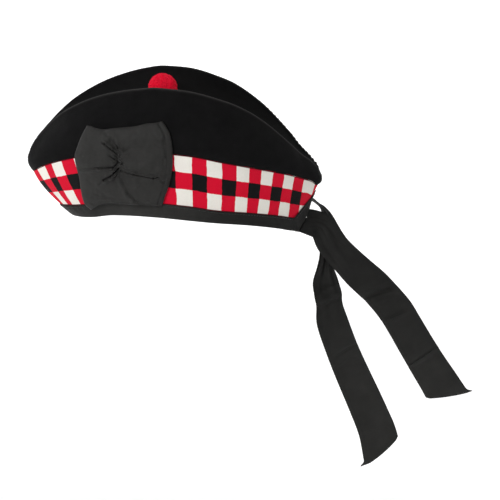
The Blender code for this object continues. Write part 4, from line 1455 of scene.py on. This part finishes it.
def side_wall(y, z):
    """How far the cap's left side stands out, with what lies just round the place."""
    reach = 0.0
    for step_y, step_z in ((0, 0), (1, 0), (-1, 0), (0, 1), (0, -1)):
        start = Vector((RIM_WIDTH, y + step_y * COCKADE_BRIDGE, z + step_z * COCKADE_BRIDGE))
        for skin in (crown_skin, band_skin, binding_skin):
            hit = skin.ray_cast(start, Vector((-1, 0, 0)))[0]
            if hit:
                reach = max(reach, hit.x)
    return reach


def wall_grid(columns, levels):
    """The cap's side behind the cockade on a coarse grid, which is then read smoothly."""
    across, up = np.meshgrid(np.linspace(0, 1, columns), np.linspace(0, 1, levels))
    place = cockade_place(across, up) * HALF_SIZE + np.array([COCKADE_BACK, COCKADE_UP])
    walls = [side_wall(float(y), float(z)) for y, z in place.reshape(-1, 2)]
    return np.array(walls).reshape(levels, columns)


def read_grid(grid, across, up):
    """Reads a grid between its points."""
    levels, columns = grid.shape
    x, y = across * (columns - 1), up * (levels - 1)
    i = np.clip(x.astype(int), 0, columns - 2)
    j = np.clip(y.astype(int), 0, levels - 2)
    u, v = x - i, y - j
    low = grid[j, i] * (1 - u) + grid[j, i + 1] * u
    high = grid[j + 1, i] * (1 - u) + grid[j + 1, i + 1] * u
    return low * (1 - v) + high * v


def crowd_towards(share, centre):
    """Moves evenly spread shares from 0 to 1 towards a centre, so that the grid is finer there."""
    draw = CROWDING * np.sin(math.pi * share) / math.pi
    return share + draw * np.sin(math.pi * (centre - share))


cockade_wall = wall_grid(WALL_COLUMNS, WALL_LEVELS)
print("cockade lies on the cap's side, out to", round(cockade_wall.max() / MM, 1), "mm")

# %% [markdown]
# The front layer and the plain layer behind it are one closed grid, so the ribbon turns round both sides
# in a soft fold and stays open at its hems, as a loop does.

# %% The cockade
COCKADE_COLUMNS, COCKADE_LEVELS, COCKADE_BACK_COLUMNS = 236, 180, 24
COCKADE_LIFT, COCKADE_THICKNESS = 1.0 * MM, 0.5 * MM


def cockade_grid():
    front_across = crowd_towards(np.linspace(0, 1, COCKADE_COLUMNS), GATHER_COLUMN)
    back_across = np.linspace(1, 0, COCKADE_BACK_COLUMNS + 2)[1:-1]
    levels = crowd_towards(np.linspace(0, 1, COCKADE_LEVELS), GATHER_LEVEL)
    layers = []
    for across_line, front in ((front_across, True), (back_across, False)):
        across, up = np.meshgrid(across_line, levels)
        place = cockade_place(across, up) * HALF_SIZE + np.array([COCKADE_BACK, COCKADE_UP])
        wall = read_grid(cockade_wall, across, up) + COCKADE_LIFT
        stand = cockade_depth(across, up) if front else 0 * across
        layers.append(np.stack([wall + stand, place[..., 0], place[..., 1]], axis=-1))
    points = np.concatenate(layers, axis=1)
    step = np.linalg.norm(points - np.roll(points, 1, axis=1), axis=-1)
    travelled = np.cumsum(step, axis=1)
    height = points[..., Z]
    return points, np.stack([travelled, height - COCKADE_UP, 0 * height], axis=-1)


cockade_points, cockade_weave = cockade_grid()
cockade = make_sheet("cockade_ribbon_loop", cockade_points, {"weave": cockade_weave}, closed=True)
thicken(cockade, COCKADE_THICKNESS, offset=0)
cockade.data.materials.append(COCKADE_RIBBON)
print("cockade:", len(cockade.data.polygons), "faces")

# %% [markdown]
# A few stitches show where the thread holds the gather: short, slack and crossed. Each stitch is a small
# closed tube that arches from one point of the ribbon to another. The binding has a row of such stitches
# near its free edge outside, so the function takes any list of stitch ends.

# %% Stitches
THREAD = paint(0.019, 0.019, 0.018)
STITCH_SIDES = 6
STITCH_RINGS = named_rows("share swell height", (
    (0.00, 0.35, 0.00),
    (0.12, 0.85, 0.45),
    (0.50, 1.00, 1.00),
    (0.88, 0.85, 0.45),
    (1.00, 0.35, 0.00),
))


def thread_finish():
    thread = Finish("charcoal thread", Sheen_Weight=0.2)
    twist = thread.noise(thread.place(), 1800.0, 1.0)
    thread.wear(Base_Color=thread.mix(twist, FELT_GREY, THREAD), Roughness=0.6 + twist * 0.2)
    return thread.material


THREAD_FINISH = thread_finish()


def sew(name, starts, ends, outs, thickness, arch):
    """Stitches as small closed tubes, each arching outward between its two ends."""
    starts, ends, outs = np.array(starts), np.array(ends), unit(np.array(outs))
    line = ends - starts
    side = unit(np.cross(line, outs))
    corners = []
    for ring in STITCH_RINGS:
        centres = starts + line * ring.share + outs * arch * ring.height
        corners += ring_corners(centres, side, outs, thickness / 2 * ring.swell, STITCH_SIDES)
    faces, first = tube_faces(len(starts), len(STITCH_RINGS), STITCH_SIDES)
    heads = first + np.arange(STITCH_SIDES)[None, ::-1]
    feet = first + np.arange(len(corners) - STITCH_SIDES, len(corners))[None]
    stitches = link(name, np.stack(corners, axis=1), faces + heads.tolist() + feet.tolist())
    stitches.data.materials.append(THREAD_FINISH)
    return stitches


print("finish:", THREAD_FINISH.name)

# %% [markdown]
# The binding's stitches follow the path at a fixed depth. The path's points are spread evenly by angle and
# not by length, so the stitch ends are read from it by the length travelled.

# %% The binding's stitches
STITCH_PITCH, STITCH_LENGTH, STITCH_INSET = 2.7 * MM, 1.8 * MM, 1.5 * MM
STITCH_THICKNESS, STITCH_ARCH, STITCH_STAND = 0.34 * MM, 0.16 * MM, 0.05 * MM


def binding_stitches():
    depth = BINDING_DEPTH - STITCH_INSET
    seam = beyond_edge(path_points, path_reaches, depth, BINDING_GAP + TAPE + STITCH_STAND)
    base = beyond_edge(path_points, path_reaches, depth, 0.0)
    length = run_lengths(seam)
    at = np.arange(STITCH_PITCH / 2, length[-1] - STITCH_PITCH, STITCH_PITCH)
    starts, ends = read_line(at, length, seam), read_line(at + STITCH_LENGTH, length, seam)
    outs = starts - read_line(at, length, base)
    both = [np.vstack([side, side * MIRROR]) for side in (starts, ends, outs)]
    return sew("binding_stitches", *both, STITCH_THICKNESS, STITCH_ARCH)


binding_thread = binding_stitches()
print("binding stitches:", len(binding_thread.data.polygons), "faces")

# %% [markdown]
# At the gather the thread crosses from side to side on its way down the pinch. A stitch's ends are places
# in halves of the cockade's size, looked up on its own relief, so they sit in it however the folds change.

# %% The gather's stitches
GATHER_THREAD, GATHER_STAND = 0.45 * MM, 0.35 * MM
GATHER_STITCHES = named_rows("back_1 up_1 back_2 up_2", (
    (-0.120, 0.250, -0.050, 0.205),
    (-0.050, 0.185, -0.115, 0.140),
    (-0.115, 0.110, -0.045, 0.070),
    (-0.045, 0.045, -0.110, 0.000),
    (-0.110, -0.025, -0.040, -0.060),
    (-0.045, -0.085, -0.105, -0.130),
))


def on_cockade(back, up):
    """The point of the cockade's front layer at a place in half sizes."""
    gaps = np.linalg.norm(cockade_points[:, :COCKADE_COLUMNS, 1:]
                          - (np.array([back, up]) * HALF_SIZE + np.array([COCKADE_BACK, COCKADE_UP])), axis=-1)
    level, column = np.unravel_index(np.argmin(gaps), gaps.shape)
    return cockade_points[level, column]


def gather_stitches():
    stand = np.array([GATHER_STAND, 0, 0])
    starts = [on_cockade(stitch.back_1, stitch.up_1) + stand for stitch in GATHER_STITCHES]
    ends = [on_cockade(stitch.back_2, stitch.up_2) + stand for stitch in GATHER_STITCHES]
    outs = np.tile([1.0, 0, 0], (len(starts), 1))
    return sew("cockade_stitches", starts, ends, outs, GATHER_THREAD, GATHER_THREAD)


cockade_thread = gather_stitches()
print("gather stitches:", len(GATHER_STITCHES))

# %% [markdown]
# The two tails are one kind of ribbon, sewn in at the vent and cut on the slant. A tail's table gives its
# stations from the vent to its end: how far back and down it has got as shares of its whole reach and drop,
# how far to the left of the middle in half rim widths, how wide it shows and how far it is rolled.

# %% The tails' stations
LEFT_REACH, LEFT_DROP = 142 * MM, 170.5 * MM
RIGHT_REACH, RIGHT_DROP = 86 * MM, 230 * MM
CURVE_STEPS = 24                  # points of the smooth curve between two stations

STATION = "back down side width roll"
LEFT_TAIL = named_rows(STATION, (
    (0.014, 0.078, 0.150, 0.83, -34),
    (0.088, 0.102, 0.069, 0.80, -10),
    (0.146, 0.176, 0.049, 0.88, 2),
    (0.195, 0.225, 0.056, 0.89, 4),
    (0.267, 0.282, 0.063, 0.93, 6),
    (0.353, 0.349, 0.042, 0.99, 3),
    (0.445, 0.415, 0.000, 1.00, -3),
    (0.538, 0.492, -0.028, 1.00, -5),
    (0.611, 0.560, -0.028, 1.03, -3),
    (0.675, 0.637, -0.020, 1.03, 0),
    (0.761, 0.745, -0.010, 1.05, 0),
    (0.850, 0.852, 0.000, 1.08, 0),
    (0.920, 0.931, 0.015, 1.12, 2),
    (0.987, 1.010, 0.028, 1.18, 4),
))
RIGHT_TAIL = named_rows(STATION, (
    (0.088, -0.002, -0.135, 0.56, 74),
    (0.147, 0.015, -0.125, 0.58, 70),
    (0.190, 0.043, -0.105, 0.60, 55),
    (0.215, 0.081, -0.080, 0.62, 28),
    (0.222, 0.123, -0.060, 0.60, 10),
    (0.224, 0.165, -0.045, 0.46, 0),
    (0.222, 0.208, -0.045, 0.42, 0),
    (0.217, 0.252, -0.050, 0.49, -6),
    (0.227, 0.308, -0.055, 0.75, -10),
    (0.264, 0.361, -0.055, 0.81, -12),
    (0.289, 0.412, -0.055, 0.81, -14),
    (0.330, 0.475, -0.052, 0.93, -8),
    (0.452, 0.585, -0.050, 0.96, 0),
    (0.592, 0.693, -0.042, 1.02, 5),
    (0.746, 0.803, -0.014, 1.05, -3),
    (0.877, 0.905, 0.020, 1.09, -6),
    (0.962, 1.003, 0.042, 1.17, -6),
))


def tail_stations(table, reach, drop, roots):
    """A tail's middle line and half widths; roots are its first pairs of edge points, upper and lower."""
    start = band_face(0.0, VENT_RISE)
    centres = [(high + low) / 2 for high, low in roots]
    for row in table:
        centres.append(start + np.array([row.side * RIM_WIDTH / 2, row.back * reach, -row.down * drop]))
    halves = [(high - low) / 2 for high, low in roots]
    for i, row in enumerate(table, start=len(roots)):
        heading = unit(centres[min(i + 1, len(centres) - 1)] - centres[i - 1])
        facing = unit(np.array([1, 0, 0]) - heading * heading[0])
        turn = math.radians(row.roll)
        half = np.cross(facing, heading) * math.cos(turn) + facing * math.sin(turn)
        halves.append(half * TAIL_WIDTH / 2 * row.width)
    return [np.concatenate([centre, half]) for centre, half in zip(centres, halves)]


def smooth_stations(stations, steps):
    """Points on a smooth curve through rows of numbers, evenly spaced from the first to the last."""
    rows = np.array(stations)
    padded = np.vstack([2 * rows[0] - rows[1], rows, 2 * rows[-1] - rows[-2]])
    fine = []
    for i in range(1, len(padded) - 2):
        p0, p1, p2, p3 = padded[i - 1:i + 3]
        for t in np.linspace(0, 1, CURVE_STEPS, endpoint=False):
            fine.append(0.5 * (2 * p1 + (p2 - p0) * t + (2 * p0 - 5 * p1 + 4 * p2 - p3) * t ** 2
                               + (3 * p1 - p0 - 3 * p2 + p3) * t ** 3))
    fine = np.array(fine + [rows[-1]])
    lengths = run_lengths(fine[:, :3])
    return read_line(np.linspace(0, lengths[-1], steps + 1), lengths, fine)


print("stations:", len(LEFT_TAIL), "on the left tail and", len(RIGHT_TAIL), "on the right one")

# %% [markdown]
# The left tail passes out through the vent from inside, so its first three edges follow the vent's edge:
# one behind the binding and two a little clear of it. The right one is lapped over the binding above the
# vent. From there each hangs free. Its soft folds are bars across or along the ribbon. A fold's row gives
# its place along and across the tail, its slant to the ribbon's length in degrees, its half length and half
# breadth, and its height, where a negative one is a dip.

# %% The tails' roots and folds
TUCKED = 3.5 * MM                 # how far in behind the binding the left tail starts


def notch_roots():
    gap = -BINDING_GAP - 2 * TAPE - SEAM_GAP / 2
    inside, outside = -BAND_WALL - BINDING_GAP - TAPE - 2 * SEAM_GAP, BINDING_GAP + 2 * TAPE
    ends = (BINDING_COLUMNS + VENT_EDGE_COLUMNS * 5 // 8, BINDING_COLUMNS)
    return [[beyond_edge(path_points[k:k + 1], path_reaches[k:k + 1], depth, np.array([out]))[0] for k in ends]
            for depth, out in ((TUCKED, inside), (gap, inside), (gap, outside))]


def lapped_roots():
    out = BINDING_GAP + 3 * TAPE
    top = band_point(back_angle(TAPE, VENT_RISE), VENT_RISE * 1.4, out)
    low = band_point(back_angle(VENT_WIDTH / 3, VENT_RISE), VENT_RISE * 1.02, out)
    return [[top * MIRROR, low * MIRROR]]


FOLD = "along across slant half_length half_breadth height"
LEFT_FOLDS = named_rows(FOLD, (
    (0.115, 0.35, 8, 15 * MM, 1.8 * MM, 0.9 * MM),
    (0.130, -0.10, 4, 17 * MM, 1.5 * MM, -0.9 * MM),
    (0.190, 0.45, 10, 18 * MM, 2.2 * MM, -0.9 * MM),
    (0.240, 0.00, -6, 20 * MM, 3.0 * MM, 1.0 * MM),
    (0.260, -0.55, -8, 18 * MM, 2.2 * MM, -0.9 * MM),
    (0.465, -0.10, 66, 16 * MM, 4.6 * MM, 2.6 * MM),
    (0.515, -0.12, 66, 16 * MM, 4.2 * MM, -4.6 * MM),
    (0.590, 0.05, 78, 10 * MM, 3.6 * MM, 0.7 * MM),
    (0.622, -0.10, 81, 11 * MM, 2.4 * MM, -2.3 * MM),
    (0.815, 0.00, 97, 30 * MM, 0.95 * MM, -1.3 * MM),
    (0.830, 0.00, 97, 30 * MM, 2.0 * MM, 1.0 * MM),
    (0.930, -0.30, 80, 12 * MM, 5.0 * MM, 0.5 * MM),
))
RIGHT_FOLDS = named_rows(FOLD, (
    (0.300, 0.40, 6, 16 * MM, 2.4 * MM, -0.9 * MM),
    (0.330, -0.30, -6, 16 * MM, 2.8 * MM, 0.9 * MM),
    (0.362, 0.00, 104, 16 * MM, 4.2 * MM, 2.4 * MM),
    (0.397, 0.00, 104, 16 * MM, 4.0 * MM, -4.4 * MM),
    (0.450, 0.20, 98, 12 * MM, 4.5 * MM, 0.6 * MM),
    (0.596, 0.10, 102, 15 * MM, 1.2 * MM, -1.2 * MM),
    (0.610, 0.10, 102, 15 * MM, 3.0 * MM, 0.7 * MM),
    (0.640, -0.35, 96, 9 * MM, 1.3 * MM, -1.0 * MM),
    (0.780, 0.20, 60, 14 * MM, 5.0 * MM, -0.7 * MM),
    (0.900, -0.20, 75, 14 * MM, 5.0 * MM, 0.6 * MM),
))


def soft_folds(table, along, across, length):
    """How far the folds lift each point of a tail, in metres."""
    lift = np.zeros_like(along)
    for fold in table:
        dx = (along - fold.along) * length
        dy = (across - fold.across) * TAIL_WIDTH / 2
        turn = math.radians(fold.slant)
        run = dx * math.cos(turn) + dy * math.sin(turn)
        off = dy * math.cos(turn) - dx * math.sin(turn)
        lift += fold.height * hump(run, fold.half_length) * hump(off, fold.half_breadth)
    return lift


print("tail folds:", len(LEFT_FOLDS), "and", len(RIGHT_FOLDS))

# %% [markdown]
# A tail's course is its stretch through the vent, straight from root to root, and then the smooth curve
# through its stations. Each row of the course is a point of the middle line and half the ribbon's width as
# a vector.

# %% The tails' course
TAIL_STEPS, SEWN_STEPS = 420, 20


def tail_course(stations, sewn):
    """The middle line, the half widths and the number of rows that are sewn in."""
    steps = np.linspace(0, 1, SEWN_STEPS, endpoint=False)[:, None]
    through = [stations[k] + (stations[k + 1] - stations[k]) * steps for k in range(sewn)]
    rows = np.vstack(through + [smooth_stations(stations[sewn:], TAIL_STEPS)])
    return rows[:, :3], rows[:, 3:], SEWN_STEPS * sewn


print("a tail has", TAIL_STEPS + 1, "rows and", SEWN_STEPS, "more between two roots")

# %% [markdown]
# A ribbon that shows narrow has not shrunk, it is pleated, so the pleats grow as the width falls. Flutter is
# a slow wave that grows towards the edges. The cut end bows a little, is blunt at one corner, and curls up at
# its tip. Each of these has its own measure, so that one can be changed without the others.

# %% The tails' pleats, flutter and cut
LEFT_CUT, RIGHT_CUT = (14.5 * MM, 0.9 * MM), (18 * MM, 2.4 * MM)   # the cut end's slant and its bow
TAIL_CUP, PLEAT_HEIGHT, PLEATS = 1.2 * MM, 2.1 * MM, 2.5
UNPLEATED = 0.97                  # a tail that shows this much of its width has no pleats
FLUTTER, FLUTTER_SIZE = 0.9 * MM, 26 * MM
TIP_CURL, TIP_HOOK, TIP_REACH = 2.2 * MM, 4.2 * MM, 3.2 * MM
CORNER_ROUND, CORNER_BREADTH = 1.4 * MM, 0.09


def tail_lift(along, across, width, length, folds, seed):
    """How far cup, pleats, flutter and folds lift each point of a tail, in metres."""
    pleat = PLEAT_HEIGHT * np.clip(UNPLEATED - width, 0, 0.5) * np.cos(across * math.pi * PLEATS)
    wave = [noise.noise(Vector((a * length / FLUTTER_SIZE, b * 0.5, seed))) for a, b in
            zip(along.ravel(), across.ravel())]
    flutter = FLUTTER * np.array(wave).reshape(along.shape) * np.abs(across) ** 1.5
    return TAIL_CUP * (1 - across ** 2) + pleat + flutter + soft_folds(folds, along, across, length)


def tip_curl(along, across, length, outward):
    """How much each point curls, from 1 at the tip of the cut to 0 a few millimetres away."""
    to_tip = (1 - along) * length + (1 - across * outward) * TAIL_WIDTH * 0.45
    return hump(np.maximum(to_tip, 0), TIP_REACH)


def cut_shift(across, outward, cut):
    """How far the cut draws each point along the tail: aslant, bowed, and blunt at one corner."""
    slant, bow = cut
    blunt = CORNER_ROUND * hump(1 + across * outward, CORNER_BREADTH)
    return across * outward * slant / 2 + bow * (1 - across ** 2) - blunt


print("cut on the slant by", LEFT_CUT[0] / MM, "and", RIGHT_CUT[0] / MM, "mm")

# %% [markdown]
# Pleats, flutter and folds move a point along the direction that the ribbon faces there, which keeps the
# tail's outline where the table puts it. The cut moves points along the ribbon, and only near its end.

# %% The tails
TAIL_STRIPS, TAIL_THICKNESS = 40, 0.55 * MM
LOOSENS = 32                      # rows after the last root until the folds have their full height
CUT_STARTS = 0.8                  # from here on the cut draws the rows aslant


def make_tail(name, table, reach, drop, cut, roots, outward, folds, seed):
    centre, half, sewn_rows = tail_course(tail_stations(table, reach, drop, roots), len(roots) - 1)
    heading = unit(np.gradient(centre, axis=0))
    facing = unit(np.cross(heading, half)) * outward
    travelled = run_lengths(centre)
    length = travelled[-1]
    share = np.linspace(-1, 1, TAIL_STRIPS + 1)[None, :]
    number = np.arange(len(centre))[:, None]
    along = travelled[:, None] / length * np.ones_like(share)
    across = share * np.ones_like(number)
    width = np.linalg.norm(half, axis=1)[:, None] / (TAIL_WIDTH / 2)
    loose = np.clip((number - sewn_rows) / LOOSENS, 0, 1)
    late = np.clip((number / (len(centre) - 1) - CUT_STARTS) / (1 - CUT_STARTS), 0, 1)
    curl = tip_curl(along, across, length, outward)
    lift = tail_lift(along, across, width, length, folds, seed) * loose + TIP_CURL * curl
    points = centre[:, None] + half[:, None] * share[..., None]
    points = points + facing[:, None] * lift[..., None]
    points = points + heading[:, None] * (cut_shift(across, outward, cut) * late)[..., None]
    points = points + unit(half)[:, None] * (outward * TIP_HOOK * curl ** 2)[..., None]
    weave = np.stack([travelled[:, None] + 0 * across, across * TAIL_WIDTH / 2, 0 * across], axis=-1)
    tail = make_sheet(name, points, {"weave": weave})
    thicken(tail, TAIL_THICKNESS, offset=0)
    tail.data.materials.append(TAIL_RIBBON)
    print(name, "is", round(length / MM), "mm long,", len(tail.data.polygons), "faces")
    return tail, length


tail_left, left_length = make_tail("tail_left_ribbon", LEFT_TAIL, LEFT_REACH, LEFT_DROP, LEFT_CUT,
                                   notch_roots(), 1, LEFT_FOLDS, 3.1)
tail_right, right_length = make_tail("tail_right_ribbon", RIGHT_TAIL, RIGHT_REACH, RIGHT_DROP, RIGHT_CUT,
                                     lapped_roots(), -1, RIGHT_FOLDS, 8.4)

# %% [markdown]
# The floor is a pale disc below the tails, whose rim curves up into a wall all round, so that the eye finds
# no horizon from any side. It is not part of the cap. The half that lies behind the cap, as seen from the
# photograph's side, glows softly, so that the background there is an even white.

# %% Floor
FLOOR_DROP = 12 * MM              # below the lowest tail
FLOOR_RADIUS, WALL_RADIUS, WALL_HEIGHT = 3.2, 5.2, 3.0
FLOOR_SIDES, BEND_STEPS, INNER_RING = 96, 12, 0.02
PALE, PALER = paint(0.86, 0.86, 0.86), paint(0.90, 0.90, 0.90)
NO_GLOW, FULL_GLOW = paint(0, 0, 0), paint(1, 1, 1)


def paper_finish():
    paper = Finish("pale paper", Roughness=0.9, Emission_Strength=1.0)
    grain = paper.noise(paper.place(), 30.0, 3.0)
    to_left = paper.place().axis(X)
    near_glow = (0.9 - to_left * 2.5).clamp() * 0.5
    far_glow = (-0.2 - to_left * 0.4).clamp() * 0.3
    paper.wear(Base_Color=paper.mix(grain, PALE, PALER),
               Emission_Color=paper.mix(near_glow + far_glow, NO_GLOW, FULL_GLOW))
    return paper.material


def make_floor():
    level = cad_low[Z] - FLOOR_DROP
    turns = np.linspace(0, 2 * math.pi, FLOOR_SIDES + 1)[:-1]
    bend = np.linspace(0, math.pi / 2, BEND_STEPS + 1)
    rise = WALL_RADIUS - FLOOR_RADIUS
    radii = np.concatenate([[INNER_RING, FLOOR_RADIUS / 2], FLOOR_RADIUS + rise * np.sin(bend), [WALL_RADIUS]])
    heights = np.concatenate([[0, 0], rise * (1 - np.cos(bend)), [WALL_HEIGHT]])
    points = np.stack([radii[:, None] * np.cos(turns), radii[:, None] * np.sin(turns),
                       level + heights[:, None] + 0 * turns], axis=-1)
    floor = make_sheet("floor", points[:, ::-1], closed=True)
    middle = bmesh.new()
    middle.from_mesh(floor.data)
    middle.verts.ensure_lookup_table()
    middle.faces.new(list(middle.verts)[:len(turns)][::-1])
    middle.to_mesh(floor.data)
    middle.free()
    floor.data.materials.append(paper_finish())
    return floor


make_floor()
print("floor", round(FLOOR_DROP / MM), "mm below the tails")

# %% [markdown]
# The light is soft and comes mostly from one large lamp high on the camera's left. A weak one stands on its
# right, one hangs overhead, one on the far side parts the ridges, and an even sky fills the rest. The plain
# view transform keeps the paper white and the reds as they are.

# %% Light
LAMPS = named_rows("name place size power", (
    ("key lamp", (2.25, -1.35, 1.3), 1.2, 48),
    ("fill lamp", (2.2, 1.6, 0.9), 1.6, 1.5),
    ("top lamp", (-0.5, 0.1, 2.6), 2.2, 6),
    ("far lamp", (-2.4, -0.6, 1.2), 1.6, 10),
))
LIT_PLACE = (0, 0.03, 0)
SKY_STRENGTH = 0.27

for row in LAMPS:
    lamp = bpy.data.objects.new(row.name, bpy.data.lights.new(row.name, "AREA"))
    lamp.data.shape = "DISK"
    lamp.data.size = row.size
    lamp.data.energy = row.power
    towards = Vector(LIT_PLACE) - Vector(row.place)
    lamp.matrix_world = Matrix.Translation(row.place) @ towards.to_track_quat("-Z", "Y").to_matrix().to_4x4()
    bpy.context.scene.collection.objects.link(lamp)

sky = bpy.data.worlds.new("sky")
sky.use_nodes = True
background = sky.node_tree.nodes["Background"].inputs
background["Color"].default_value = FULL_GLOW
background["Strength"].default_value = SKY_STRENGTH
bpy.context.scene.world = sky
bpy.context.scene.view_settings.view_transform = "Standard"
bpy.context.scene.view_settings.look = "None"
print("lamps:", len(LAMPS))

# %% [markdown]
# Last, each piece rides on the cap's one body and hides the plain solid that it replaces.

# %% Pieces and the frame
PARTS = (
    # piece, the solids it replaces, finish
    (crown, ("crown",), "black_felt"),
    (crown_nap, (), "black_felt"),
    (band, ("diced_band",), "diced_wool"),
    (binding, ("edge_binding",), "binding_ribbon"),
    (binding_thread, (), "binding_ribbon"),
    (toorie_core, ("toorie",), "red_wool"),
    (toorie_yarn, (), "red_wool"),
    (toorie_fuzz, (), "red_wool"),
    (cockade, ("cockade",), "cockade_ribbon"),
    (cockade_thread, (), "cockade_ribbon"),
    (tail_left, ("tail_left",), "tail_ribbon"),
    (tail_right, ("tail_right",), "tail_ribbon"),
)
for piece, solids, finish in PARTS:
    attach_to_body(piece, "root")
    if solids:
        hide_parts(*solids)

print("pieces:", len(PARTS))

# %% [markdown]
